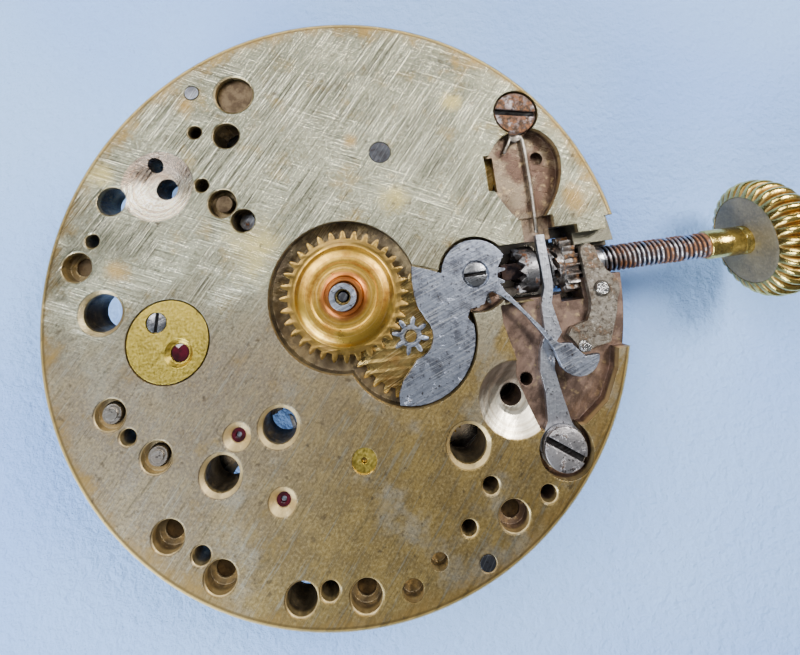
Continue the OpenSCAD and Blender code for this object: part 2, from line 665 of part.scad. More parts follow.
yoke_outline = concat(
    [[10.33, 1.75], [10.78, 1.75], [10.8, 0.0], [10.8, -0.95], [10.55, -1.8], [10.7, -2.7], [10.8, -3.3],
     [10.35, -3.8], [10.1, -5.0], [10.22, -6.0], [10.5, -7.6]],
    arc(yoke_pivot, 1.15, 50, -230, 12),
    [[9.3, -7.4], [9.45, -6.0], [9.35, -5.0], [9.55, -4.0], [9.95, -3.2], [10.0, -1.8], [10.33, -0.95]]);
yoke_bore_r = 0.5;
module yoke() color("Silver") difference() {
    layer(yoke_z - yoke_t, yoke_z) polygon(yoke_outline);
    column(yoke_pivot, yoke_bore_r + run_gap, 0, plate_t);
}
module yoke_screw() color("SlateGray") {
    slotted_screw(yoke_pivot, yoke_screw_r, 0.05, yoke_z - yoke_t - 0.08, yoke_bore_r, plate_t - 0.1, -35);
}

// Round wire along a list of points
module wire(p, r) for (i = [0:len(p) - 2]) {
    v = p[i + 1] - p[i];
    translate(p[i]) sphere(r, $fn = 20);
    translate(p[i + 1]) sphere(r, $fn = 20);
    translate(p[i]) rotate([0, acos(v[2] / norm(v)), heading(v)]) cylinder(r = r, h = norm(v), $fn = 20);
}
module setting_spring() color("Silver") {
    wire_z = -0.62;
    difference() {
        union() {
            column(spring_screw_at, 0.95, 0.52, 0.72);
            layer(0.52, 0.72) bar(spring_screw_at, [10.1, 7.1], 0.25);
        }
        column(spring_screw_at, 0.6 - run_gap, 0, plate_t);
    }
    wire([[10.3, 7.3, wire_z], [10.6, 6.6, wire_z], [10.65, 5.6, wire_z], [10.55, 4.4, wire_z],
          [10.32, 2.4, wire_z], [10.42, 1.95, wire_z]], wire_r);
    wire([[9.95, 7.3, wire_z], [9.7, 6.8, wire_z], [9.45, 6.4, wire_z]], wire_r);
}
module spring_screw() color("SaddleBrown")
    slotted_screw(spring_screw_at, spring_screw_r, 0.05, 0.46, 0.57, plate_t - 0.2, -10);

// Turns a shape built along +Z so that it lies along the stem, with its start at x
module along_stem(x) translate([x, 0, -stem_d]) rotate([0, 90, 0]) children();
module square_hole(x, l) translate([x, -stem_square - run_gap, -stem_d - stem_square - run_gap])
    cube([l, 2 * (stem_square + run_gap), 2 * (stem_square + run_gap)]);
module stem() color("Sienna") {
    thread_n = floor((stem_end - thread_start) / thread_pitch);
    along_stem(0) rotate_extrude()
        polygon([[0, 7.0], [stem_pilot_r - 0.08, 7.0], [stem_pilot_r, 7.1], [stem_pilot_r, 8.45], [0, 8.45]]);
    translate([8.4, -stem_square, -stem_d - stem_square])
        cube([stem_round_start - 8.4, 2 * stem_square, 2 * stem_square]);
    along_stem(0) rotate_extrude() polygon(concat(
        [[0, stem_round_start], [0.6, stem_round_start], [0.6, stem_collar],
         [stem_groove_r, stem_collar + 0.03], [stem_groove_r, stem_collar + 0.57],
         [stem_r, stem_collar + 0.6], [stem_r, thread_start]],
        [for (i = [0:thread_n - 1]) let (x = thread_start + i * thread_pitch)
            each [[stem_r, x + 0.25 * thread_pitch], [stem_r - 0.14, x + 0.6 * thread_pitch],
                  [stem_r, x + 0.95 * thread_pitch]]],
        [[stem_r, stem_end], [0.45, stem_end], [0.45, crown_x + 1.2], [0, crown_x + 1.2]]));
}
module castle_pinion() color("SlateGray") difference() {
    union() {
        along_stem(castle_face + 0.3) rotate_extrude() polygon([[0, 0], [castle_r, 0],
            [castle_r, groove_x0 - castle_face - 0.3], [0.85, groove_x0 - castle_face - 0.3],
            [0.85, groove_x1 - castle_face - 0.3], [castle_r, groove_x1 - castle_face - 0.3],
            [castle_r, castle_end - castle_face - 0.45], [0, castle_end - castle_face - 0.45]]);
        along_stem(castle_face) for (i = [0:13]) rotate(i * 360 / 14)
            translate([castle_r - 0.42, -0.12, 0]) cube([0.4, 0.24, 0.32]);
        along_stem(castle_end - 0.17) for (i = [0:11]) rotate(i * 30)
            translate([castle_r - 0.42, -0.12, 0]) cube([0.4, 0.22, 0.17]);
    }
    square_hole(castle_face - over, 3);
}
module winding_pinion() color("SlateGray") difference() {
    union() {
        along_stem(winding_face + 0.15) cylinder(r = 1.1, h = winding_rim - winding_face - 0.15);
        along_stem(winding_face) for (i = [0:11]) rotate(i * 30 + 15)
            translate([0.68, -0.12, 0]) cube([0.4, 0.22, 0.17]);
        along_stem(winding_rim) linear_extrude(winding_end - winding_rim)
            polygon(gear_outline(winding_teeth, 2 * winding_r / (winding_teeth + 1.8), 0.25, 0.12));
    }
    along_stem(winding_face - over) cylinder(r = 0.6 + run_gap, h = 3);
}
module crown() color("Gold") difference() {
    union() {
        along_stem(stem_end) cylinder(r = crown_tube_r, h = crown_x - stem_end + 0.2);
        along_stem(crown_x) rotate_extrude($fn = 96) polygon(concat(
            [[0, 0], [crown_r * 0.73, 0], [crown_r * 0.8, 0.15], [crown_r * 0.95, 0.25]],
            arc([crown_r - 0.35, 0.6], 0.35, -30, 20, 3),
            arc([crown_r - 0.7, crown_l - 0.7], 0.7, 0, 90, 6),
            [[0, crown_l]]));
    }
    along_stem(crown_x + 0.22) for (i = [0:crown_flutes - 1]) rotate(i * 360 / crown_flutes)
        translate([crown_r + 0.04, 0, 0]) cylinder(r = 0.17, h = crown_l, $fn = 16);
    along_stem(stem_end - over) cylinder(r = 0.45, h = crown_x + 1.2 - stem_end + over);
}

// Barrel
module barrel_drum() color("Goldenrod") difference() {
    union() {
        column(barrel_at, barrel_tip_r - 0.28, barrel_front, barrel_top);
        translate(barrel_at) layer(barrel_top - 0.45, barrel_top)
            rotate(barrel_dir + 180) gear_2d(barrel_teeth, barrel_module);
    }
    column(barrel_at, barrel_inner_r, barrel_front + 0.25, barrel_top + over);
    column(barrel_at, barrel_tip_r - 0.48, barrel_top - 0.25, barrel_top + over);
    column(barrel_at, arbor_pivot_r + run_gap, 0, plate_t);
}
barrel_inner_r = barrel_tip_r - 0.28 - barrel_wall;
module barrel_cover() color("Goldenrod") difference() {
    column(barrel_at, barrel_tip_r - 0.48, barrel_top - 0.25, barrel_top);
    column(barrel_at, arbor_pivot_r + 0.25 + run_gap, 0, plate_t + 1);
}
// Flat spiral of the given blade thickness, wound from radius r0 to r1
function spiral(r0, r1, turns, t, n) = concat(
    [for (i = [0:turns * n]) polar(r0 + (r1 - r0) * i / (turns * n) + t / 2, i * 360 / n)],
    [for (i = [turns * n:-1:0]) polar(r0 + (r1 - r0) * i / (turns * n) - t / 2, i * 360 / n)]);
module mainspring() color("SteelBlue") translate(barrel_at) layer(barrel_front + 0.35, barrel_top - 0.35)
    polygon(spiral(arbor_core_r + spring_t, barrel_inner_r - spring_t, spring_turns, spring_t, 24));
module barrel_arbor() color("Silver") difference() {
    barrel_arbor_body();
    column(barrel_at, ratchet_shank_r, winding_back - ratchet_shank_l, 5);
}
module barrel_arbor_body() {
    column(barrel_at, arbor_core_r, barrel_front + 0.32, barrel_top - 0.32);
    column(barrel_at, arbor_pivot_r, 0.02, winding_z);
    translate([barrel_at[0] - 0.5, barrel_at[1] - 0.5, -winding_back]) cube([1, 1, winding_back - winding_z]);
}
ratchet_shank_r = 0.3;
ratchet_shank_l = 1.0;

// Going train
module centre_wheel() color("Goldenrod") difference() {
    union() {
        layer(train_z2, train_z2 + wheel_t) train_wheel(centre_teeth, centre_module, 5, 1.1, third_dir);
        layer(barrel_top - 0.5, train_z2) rotate(gap_to(barrel_dir, centre_leaves))
            leaves_2d(centre_leaves, barrel_module);
        column([0, 0], centre_hole_r - run_gap, motion_floor + 0.02, barrel_top);
        column([0, 0], 0.6, train_z2, barrel_bridge_front + 0.35);
        column([0, 0], cannon_bore_r, -0.3, motion_floor + 0.02);
    }
    column([0, 0], 0.3, -2, 5);
}
module pivoted_arbor(at, z0, z1, d0, d1) {
    column(at, arbor_r, z0 + d0, z1 - d1);
    column(at, pivot_r, z0, z1);
}
module third_wheel() color("Goldenrod") {
    translate(third_at) {
        layer(train_z1, train_z1 + wheel_t)
            train_wheel(third_teeth, third_module, 5, 0.8, fourth_dir);
        layer(train_z1 + wheel_t, train_z2 + wheel_t + 0.04) rotate(gap_to(third_dir + 180, third_leaves))
            leaves_2d(third_leaves, centre_module);
    }
    pivoted_arbor(third_at, 1.6, bridge_back - 0.15, plate_t - 1.55, 0.55);
}
module fourth_wheel() color("Goldenrod") {
    translate(fourth_at) {
        layer(train_z3, train_z3 + wheel_t) train_wheel(fourth_teeth, fourth_module, 5, 0.7, escape_dir);
        layer(train_z1 - 0.04, train_z3) rotate(gap_to(fourth_dir + 180, fourth_leaves))
            leaves_2d(fourth_leaves, third_module);
    }
    column(fourth_at, pivot_r, 0.25, train_z1);
    column(fourth_at, pivot_r, train_z3, chrono_bridge_z - 0.35);
}
// Escape wheel: club teeth leaning the way that the wheel turns
module escape_wheel() color("Silver") {
    rim = escape_r - 0.75;
    translate(escape_at) {
        layer(train_z1, train_z1 + wheel_t) {
            difference() {
                polygon([for (i = [0:escape_teeth - 1])
                    let (a = (i + 0.5) * 360 / escape_teeth + escapement_dir)
                    each [polar(rim, a - 8), polar(escape_r - 0.12, a - 1.6), polar(escape_r, a + 2.4),
                          polar(rim, a - 2)]]);
                circle(rim - 0.35);
            }
            circle(0.6);
            for (i = [0:3]) rotate(i * 90) translate([0, -0.15]) square([rim - 0.2, 0.3]);
        }
        layer(train_z1 + wheel_t, train_z3 + wheel_t + 0.04) rotate(gap_to(escape_dir + 180, escape_leaves))
            leaves_2d(escape_leaves, fourth_module);
    }
    pivoted_arbor(escape_at, jewel_d + 0.1, bridge_back - 0.15, jewel_t, 0.72);
}

// Lever escapement
fork_t = 0.2;
pallet_spread = 75;
module pallet_fork() color("Silver") {
    toward_escape = escapement_dir + 180;
    translate(fork_at) layer(train_z1, train_z1 + fork_t) {
        circle(0.55);
        for (s = [-1, 1]) rotate(toward_escape + s * pallet_spread) {
            translate([0, -0.22]) square([pallet_reach - 0.3, 0.44]);
            translate([pallet_reach - 0.5, -0.16]) square([0.5, 0.32]);
        }
        rotate(escapement_dir) {
            translate([0, -0.2]) square([fork_reach - 1.75, 0.4]);
            for (s = [-1, 1]) translate([fork_reach - 1.9, s * 0.36 - 0.16]) square([0.75, 0.32]);
            translate([fork_reach - 2.1, -0.52]) square([0.3, 1.04]);
        }
    }
    pivoted_arbor(fork_at, jewel_d + 0.1, pallet_bridge_z + pallet_bridge_t - 0.05, jewel_t, 0.42);
}
pallet_reach = escape_r * tan(30) - 0.1;
pallet_bridge_z = train_z1 + fork_t + pass_gap;
pallet_bridge_t = 0.35;
module pallet_bridge() color("Tan") difference() {
    union() {
        layer(pallet_bridge_z, pallet_bridge_z + pallet_bridge_t)
            path([fork_at, [-7.6, -8.0], pallet_bridge_screw], 0.75);
        column(pallet_bridge_screw, 1.05, plate_t, pallet_bridge_z + pallet_bridge_t);
    }
    column(fork_at, pivot_r + run_gap, 0, 5);
    column(pallet_bridge_screw, screw_r, 0, 5);
}
module balance_wheel() color("Gold") {
    difference() {
        column(balance_at, balance_r - 0.12, balance_z, balance_z + balance_h);
        column(balance_at, balance_r - 0.12 - balance_rim_w, 0, 5);
    }
    translate(balance_at) layer(balance_z + 0.1, balance_z + 0.3) difference() {
        union() {
            circle(0.8);
            translate([-balance_r + 0.4, -0.3]) square([2 * balance_r - 0.8, 0.6]);
        }
        circle(0.4);
    }
    for (i = [0:balance_screws - 1]) translate([balance_at[0], balance_at[1], -balance_z - balance_h / 2])
        rotate([0, 90, (i + 0.5) * 360 / balance_screws])
        translate([0, 0, balance_r - 0.14]) cylinder(r = 0.16, h = 0.13);
}
roller_z = train_z1 + fork_t + 0.55;
module balance_staff() color("Silver") {
    column(balance_at, 0.1, endpiece_t + 0.02, cock_back);
    column(balance_at, 0.3, plate_t + 0.1, balance_z + 0.1);
    column(balance_at, 0.4, balance_z + 0.1, hair_z + 0.2);
    // Roller table and its impulse pin, which ends short of the fork
    column(balance_at, 1.2, balance_z - 0.16, balance_z - 0.02);
    column(balance_at + polar(0.95, escapement_dir + 180), 0.1, roller_z - 0.28, balance_z - 0.02);
}
hair_z = balance_z + balance_h + 0.12;
cock_z = chrono_bridge_back - 0.85;
cock_back = chrono_bridge_back;
module hairspring() color("SteelBlue") translate(balance_at) layer(hair_z, hair_z + 0.12)
    polygon(spiral(0.48, 2.6, hair_turns, hair_t, 20));
module balance_cock() color("Tan") difference() {
    union() {
        layer(cock_z, cock_back) {
            path([balance_at, [-10.6, 1.0], cock_screw], 1.05);
            translate(balance_at) circle(1.5);
        }
        column(cock_screw, 1.2, plate_t, cock_back);
        column(balance_at + [2.62, 0], 0.22, hair_z, cock_z);
        layer(cock_z, cock_back) bar(balance_at, balance_at + [2.62, 0], 0.35);
    }
    column(balance_at, 0.1 + run_gap, 0, cock_back + over);
    column(cock_screw, screw_r, 0, 7);
}
regulator_t = 0.2;
module regulator() color("Silver") difference() {
    layer(cock_back, cock_back + regulator_t) {
        translate(balance_at) circle(1.25);
        bar(balance_at, balance_at + [0.3, 3.0], 0.16);
        bar(balance_at, balance_at + [0.5, -1.9], 0.16);
    }
    column(balance_at, 0.5, 0, 7);
}

// Bridges of the going train
inner_r = plate_r - 0.35;
module barrel_bridge_2d() intersection() {
    circle(inner_r, $fn = 180);
    polygon([[-2.6, -1.9], [-3.0, 3.4], [-7.4, 4.2], [-7.4, 9.4], [-7.2, 13], [0, 15], [9, 13], [15, 6],
        [15, -4.3], [11.4, -4.3], [10.2, -2.3], [5.6, -1.9]]);
}
module barrel_bridge() color("Tan") difference() {
    union() {
        layer(barrel_bridge_front, bridge_back) barrel_bridge_2d();
        for (p = barrel_bridge_screws) column(p, screw_head_r + 0.15, plate_t, barrel_bridge_front);
    }
    // Recesses for the ratchet wheel, the crown wheel and the click
    column(barrel_at, winding_module * ratchet_teeth / 2 + 0.4, winding_z, 5);
    column(crown_wheel_at, winding_module * crown_wheel_teeth / 2 + 0.4, winding_z, 5);
    layer(winding_z, 5) click_room_2d(0.3);
    // Relief over the castle pinion and the opening for the winding pinion
    translate([castle_face - 1.25, -0.9, -barrel_bridge_front - 0.15])
        cube([castle_end + 1.35 - castle_face, 1.8, 0.2]);
    translate([winding_face - 0.05, -winding_r, -winding_z - over])
        cube([winding_end + 0.1 - winding_face, 2 * winding_r, winding_z - barrel_bridge_front + 2 * over]);
    column(barrel_at, arbor_pivot_r + run_gap, 0, 5);
    column([0, 0], 0.6 + run_gap, 0, 5);
    column(crown_wheel_at, 0.5, winding_z - 0.3, 5);
    bridge_screw_cuts(barrel_bridge_screws);
    column(brake_pivot, 0.3, 3.5, 5);
    column(click_pivot, 0.3 + run_gap, winding_z - 0.2, 5);
    column(recorder_at, 0.22 + pass_gap, 0, 5);
    for (p = chrono_feet) column(p, screw_r, bridge_back - 0.3, 5);
}
module bridge_screw_cuts(places) for (p = places) {
    column(p, screw_r, 0, 5);
    column(p, screw_head_r + 0.03, bridge_back - screw_head_h, 5);
}
module train_bridge_2d() intersection() {
    circle(inner_r, $fn = 180);
    polygon([[-8.0, -13], [-7.3, -10.4], [-5.2, -8.2], [-3.6, -7.0], [0.4, -2.6], [5.4, -2.6], [9.6, -3.0],
        [11.0, -4.9], [14, -5.0], [12, -12], [0, -15]]);
}
module train_bridge() color("Tan") difference() {
    union() {
        layer(bridge_front, bridge_back) train_bridge_2d();
        column(train_bridge_screws[0], 0.7, plate_t, bridge_front);
        column(train_bridge_screws[1], 1.2, plate_t, bridge_front);
        column(train_bridge_screws[2], 1.2, plate_t, bridge_front);
        column([11.2, -6.4], 1.1, plate_t, bridge_front);
        column(fourth_at, 0.5 - run_gap, bridge_back, chrono_z1 + lever_h);
    }
    for (p = [third_at, escape_at]) column(p, pivot_r + run_gap, 0, 5);
    column(fourth_at, pivot_r + run_gap, 0, 5);
    bridge_screw_cuts(train_bridge_screws);
    for (p = [column_at, hammer_pivot, operating_pivot]) column(p, 0.3, 3.2, 5);
    for (p = chrono_feet) column(p, screw_r, bridge_back - 0.3, 5);
}
module bridge_screw(p, z0, end_z) {
    difference() {
        column(p, screw_head_r, z0, z0 + screw_head_h);
        slot(p, screw_head_r, z0 + screw_head_h * 0.55, 1, 30);
    }
    column(p, screw_r, end_z, z0);
}
module bridge_screws() color("SteelBlue") {
    for (p = concat(barrel_bridge_screws, train_bridge_screws))
        bridge_screw(p, bridge_back - screw_head_h, screw_end_d);
    // Wide end of one screw and the long end of its neighbour, both seen from the dial side
    column(barrel_bridge_screws[0], 0.95, 0.5, 0.7);
    column(barrel_bridge_screws[1], screw_r - 0.03, 0.35, screw_end_d + over);
    bridge_screw(pallet_bridge_screw, pallet_bridge_z + pallet_bridge_t, screw_end_d);
    bridge_screw(cock_screw, chrono_bridge_back, screw_end_d);
    for (p = chrono_feet) bridge_screw(p, chrono_bridge_back, bridge_back - 0.3);
}

// Winding wheels on the barrel bridge
ratchet_r = winding_module * ratchet_teeth / 2;
module ratchet_wheel() color("Silver") difference() {
    translate(barrel_at) layer(winding_z + 0.02, winding_back)
        rotate(crown_wheel_dir) gear_2d(ratchet_teeth, winding_module);
    translate([barrel_at[0] - 0.5, barrel_at[1] - 0.5, -5]) cube([1, 1, 5]);
}
module ratchet_screw() color("SteelBlue") {
    difference() {
        column(barrel_at, screw_head_r, winding_back, winding_back + screw_head_h);
        slot(barrel_at, screw_head_r, winding_back + screw_head_h * 0.55, 1, 30);
    }
    column(barrel_at, ratchet_shank_r, winding_back - ratchet_shank_l, winding_back);
}
module crown_wheel() color("Silver") difference() {
    translate(crown_wheel_at) layer(winding_z + 0.02, winding_back)
        rotate(gap_to(crown_wheel_dir + 180, crown_wheel_teeth)) gear_2d(crown_wheel_teeth, winding_module);
    column(crown_wheel_at, 0.85, 0, 5);
}
module crown_wheel_screw() color("SteelBlue") difference() {
    union() {
        column(crown_wheel_at, 0.5, winding_z - 0.3, winding_z);
        column(crown_wheel_at, 0.85 - run_gap, winding_z, winding_back + 0.02);
        column(crown_wheel_at, 1.3, winding_back + 0.02, winding_back + 0.22);
    }
    slot(crown_wheel_at, 1.3, winding_back + 0.14, 1, 60);
}
click_pivot = barrel_at + polar(ratchet_r + 1.15, 165);
module click_2d() {
    translate(click_pivot) circle(0.6);
    polygon([click_pivot + [0.1, 0.55], click_pivot + [-0.45, -0.3],
        barrel_at + polar(ratchet_r + 0.35, 186), barrel_at + polar(ratchet_r + 0.27, 183.5)]);
}
// Room round the click for its swing
module click_room_2d(gap) {
    translate(click_pivot) circle(0.6 + gap);
    translate(barrel_at) circle(ratchet_r + 0.4);
    bar(click_pivot, barrel_at + polar(ratchet_r + 0.55, 186), 0.6 + gap);
}
module click() color("SlateGray") {
    layer(winding_z + 0.02, winding_back) click_2d();
    column(click_pivot, 0.3, winding_z - 0.2, winding_z + 0.02);
}

// Chronograph wheels
module fine_wheel(teeth, r, rim, spokes) {
    root = r * (1 - 2.2 / (teeth + 2));
    difference() {
        polygon([for (i = [0:2 * teeth - 1]) polar(i % 2 == 0 ? root : r, i * 180 / teeth)]);
        circle(r - rim);
    }
    circle(0.5);
    for (i = [0:spokes - 1]) rotate(i * 360 / spokes) translate([0, -0.15]) square([r - rim / 2, 0.3]);
}
module driving_wheel() color("Goldenrod") difference() {
    union() {
        translate(fourth_at) layer(chrono_z2, chrono_z2 + fine_wheel_h)
            fine_wheel(driving_teeth, runner_r, 0.4, 5);
        column(fourth_at, 0.4, chrono_z2, chrono_z2 + 0.5);
    }
    column(fourth_at, pivot_r, 0, 7);
}
module coupling_wheel() color("Goldenrod") {
    translate(coupling_at) layer(chrono_z2, chrono_z2 + fine_wheel_h)
        rotate(5) fine_wheel(coupling_teeth, coupling_r, 0.3, 4);
    column(coupling_at, pivot_r, chrono_z1 + 0.02, chrono_z2 + 0.4);
}
module coupling_lever() color("SlateGray") difference() {
    layer(chrono_z1, chrono_z1 + lever_h) {
        path([coupling_at, fourth_at + polar(1.9, coupling_rest), fourth_at], 0.42);
        translate(fourth_at) circle(1.0);
        path([fourth_at, [3.2, -8.3], [5.0, -8.0]], 0.4);
    }
    column(fourth_at, 0.5, 0, 7);
    column(coupling_at, pivot_r + run_gap, 0, 7);
}
heart_low = 0.5;
// Heart cam: the radius grows evenly from its notch to its point on either side
module heart_2d() polygon([for (a = [-180:12:168]) polar(heart_r - (heart_r - heart_low) * abs(a) / 180, a)]);
module seconds_runner() color("Gold") {
    layer(chrono_z2, chrono_z2 + fine_wheel_h) fine_wheel(driving_teeth, runner_r, 0.4, 5);
    layer(chrono_z3, chrono_z3 + lever_h) rotate(225) heart_2d();
    column([0, 0], 0.22, 0.15 - cannon_h, chrono_bridge_z - 0.05);
    column([0, 0], pivot_r, chrono_bridge_z - 0.05, chrono_bridge_back - 0.05);
}
module minute_recorder() color("Gold") {
    translate(recorder_at) {
        layer(chrono_z2, chrono_z2 + fine_wheel_h) fine_wheel(recorder_teeth, recorder_r, 0.35, 5);
        layer(chrono_z3, chrono_z3 + lever_h) rotate(225) heart_2d();
    }
    // Collar of the arbor, deep in its hole in the plate
    column(recorder_at, 0.4, 1.0, 1.4);
    column(recorder_at, 0.22, 1.4, chrono_bridge_z - 0.05);
    column(recorder_at, pivot_r, chrono_bridge_z - 0.05, chrono_bridge_back - 0.05);
}
module column_wheel() color("SlateGray") difference() {
    union() {
        translate(column_at) layer(chrono_z1, chrono_z1 + 0.3)
            polygon([for (i = [0:2 * columns - 1]) let (a = i * 180 / columns)
                each [polar(column_r, a), polar(column_r * 0.78, a + 150 / columns)]]);
        translate(column_at) layer(chrono_z1 + 0.3, back_d - 0.4) difference() {
            circle(column_r * 0.72);
            circle(column_r * 0.36);
            for (i = [0:columns - 1]) rotate((i + 0.25) * 360 / columns)
                translate([0, -0.18]) square([column_r, 0.42]);
        }
    }
    column(column_at, 0.3 + run_gap, 0, 7);
}

// Chronograph levers
module operating_lever() color("SlateGray") difference() {
    layer(chrono_z1, chrono_z1 + lever_h) {
        path([operating_pivot, [8.6, -10.75], [10.9, -8.3]], 0.42);
        translate(operating_pivot) circle(0.75);
        path([[8.6, -10.75], [8.0, -9.95]], 0.2);
    }
    column(operating_pivot, 0.3 + run_gap, 0, 7);
}
hammer_tip = [-3.2, 5.9];
hammer_face = [1.35, 1.45];
module reset_hammer() color("SlateGray") difference() {
    union() {
        layer(chrono_z3, chrono_z3 + lever_h) {
            path([hammer_pivot, hammer_face + [0.25, 0.25], hammer_tip + [0.15, 0.15]], 0.32);
            translate(hammer_pivot) circle(0.8);
            for (p = [hammer_face, hammer_tip]) translate(p) rotate(45) square([0.4, 1.0], center = true);
        }
        column(hammer_pivot, 0.8, chrono_z1, chrono_z3);
    }
    column(hammer_pivot, 0.3 + run_gap, 0, 7);
}
brake_tip = [1.3, 3.35];
module brake_lever() color("SlateGray") difference() {
    layer(chrono_z2, chrono_z2 + fine_wheel_h) {
        path([brake_pivot, [5.2, 6.6], brake_tip], 0.3);
        translate(brake_pivot) circle(0.75);
    }
    column(brake_pivot, 0.3 + run_gap, 0, 7);
}
module lever_screw(p, top, end_z) {
    difference() {
        column(p, 0.6, top, top + 0.35);
        slot(p, 0.6, top + 0.2, 1, 15);
    }
    column(p, 0.3, end_z, top);
}
module lever_screws() color("SteelBlue") {
    lever_screw(column_at, back_d - 0.35, bridge_front + 0.1);
    lever_screw(hammer_pivot, chrono_z3 + lever_h + 0.02, bridge_front + 0.1);
    lever_screw(operating_pivot, chrono_z1 + lever_h + 0.02, bridge_front + 0.1);
    lever_screw(brake_pivot, chrono_z2 + fine_wheel_h + 0.02, bridge_back - 0.4);
}
// Blade springs of the levers: an eye and a thin curved blade
module blade_spring(p, r, a0, a1) difference() {
    layer(bridge_back, bridge_back + 0.3) {
        translate(p) circle(0.55);
        blade_centre = p + polar(r, a0 + 180);
        polygon(concat(arc(blade_centre, r + 0.06, a0, a1, 10), arc(blade_centre, r - 0.06, a1, a0, 10)));
    }
    column(p, 0.2, 0, 7);
}
module lever_springs() color("Silver") {
    blade_spring([-1.4, -12.4], 4.6, 245, 285);
    blade_spring([11.8, 5.2], 7, 0, 38);
    blade_spring([10.6, -6.3], 4, 0, 45);
}
module chrono_bridge() color("Tan") difference() {
    union() {
        layer(chrono_bridge_z, chrono_bridge_back) {
            path([chrono_feet[0], recorder_at, [0, 0], chrono_feet[1]], 0.95);
            path([[0, 0], [5.2, 2.6], chrono_feet[2]], 0.9);
        }
        for (p = chrono_feet) column(p, 0.8, bridge_back, chrono_bridge_z);
    }
    for (p = [[0, 0], recorder_at]) column(p, pivot_r + run_gap, 0, 7);
    for (p = chrono_feet) column(p, screw_r, 0, 7);
}

main_plate();
plate_jewels();
fourth_bush();
plate_pins();
plate_screws();
endpiece();
cap_jewel();
endpiece_screw();
hour_wheel();
cannon_pinion();
minute_wheel();
minute_pinion();
minute_post();
setting_wheel();
setting_cover();
cover_screw();
setting_lever();
yoke();
yoke_screw();
setting_spring();
spring_screw();
castle_pinion();
winding_pinion();
stem();
crown();
barrel_drum();
barrel_cover();
mainspring();
barrel_arbor();
centre_wheel();
third_wheel();
fourth_wheel();
escape_wheel();
pallet_fork();
pallet_bridge();
balance_wheel();
balance_staff();
hairspring();
balance_cock();
regulator();
barrel_bridge();
train_bridge();
bridge_screws();
ratchet_wheel();
ratchet_screw();
crown_wheel();
crown_wheel_screw();
click();
driving_wheel();
coupling_lever();
coupling_wheel();
seconds_runner();
minute_recorder();
column_wheel();
operating_lever();
reset_hammer();
brake_lever();
lever_screws();
lever_springs();
chrono_bridge();
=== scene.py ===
# Chronograph watch movement on pale paper, seen from its dial side.
# Sizes in this file are millimetres until MM turns them into metres.
import math

import bmesh
import bpy
from mathutils import Euler, Matrix, Vector


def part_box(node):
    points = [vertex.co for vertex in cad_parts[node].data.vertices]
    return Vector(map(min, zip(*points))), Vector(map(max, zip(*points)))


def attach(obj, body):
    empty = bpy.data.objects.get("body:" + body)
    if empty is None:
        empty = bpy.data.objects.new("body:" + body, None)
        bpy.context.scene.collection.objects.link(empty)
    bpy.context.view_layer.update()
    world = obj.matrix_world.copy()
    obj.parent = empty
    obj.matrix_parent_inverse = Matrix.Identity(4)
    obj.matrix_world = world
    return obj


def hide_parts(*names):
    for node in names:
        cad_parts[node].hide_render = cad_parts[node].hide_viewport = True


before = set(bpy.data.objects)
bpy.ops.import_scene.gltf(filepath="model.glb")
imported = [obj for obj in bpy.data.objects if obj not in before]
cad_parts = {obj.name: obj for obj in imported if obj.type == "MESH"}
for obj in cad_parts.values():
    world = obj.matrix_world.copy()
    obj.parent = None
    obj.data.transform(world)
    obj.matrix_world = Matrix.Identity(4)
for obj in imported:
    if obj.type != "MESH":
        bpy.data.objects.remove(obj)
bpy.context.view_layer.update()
MM = 0.001


def centre_of(node):
    low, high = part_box(node)
    return ((low[0] + high[0]) / 2 / MM, (low[1] + high[1]) / 2 / MM)


# Places and depths, the same as the solids have
STEM_AXIS = -1.92
STEM_R = 0.72
THREAD_START, STEM_END, THREAD_PITCH = 14.05, 20.2, 0.27
CROWN_X, CROWN_R, CROWN_L, CROWN_FLUTES = 22.6, 3.3, 2.4, 32
PLATE_R = 14.65
FOOT_SEATS = ((-8.82, 6.68), (7.75, -6.0))
FOOT_SEAT_R = 1.85
LEVER_PIVOT, DETENT_AT = (13.28, -1.38), (11.79, -4.1)
MINUTE_AT = centre_of("minute_wheel")
MINUTE_DIR = -38.0
SPRING_SCREW_AT = centre_of("spring_screw")
BALANCE_AT = centre_of("balance_staff")

# Stains on the plate: place, reach and colour
YELLOW, ORANGE = (0.46, 0.37, 0.12), (0.33, 0.19, 0.04)
STAINS = (
    ((-7.2, 10.9), 0.9, ORANGE),
    ((-4.2, 3.0), 2.0, YELLOW),
    ((6.9, 9.4), 0.8, YELLOW),
    ((12.6, 3.4), 1.1, ORANGE),
    ((-10.8, 2.6), 0.8, ORANGE),
    ((-11.5, 7.6), 0.9, YELLOW),
    ((3.2, 4.6), 1.0, YELLOW),
    ((1.2, 7.9), 0.5, ORANGE),
)


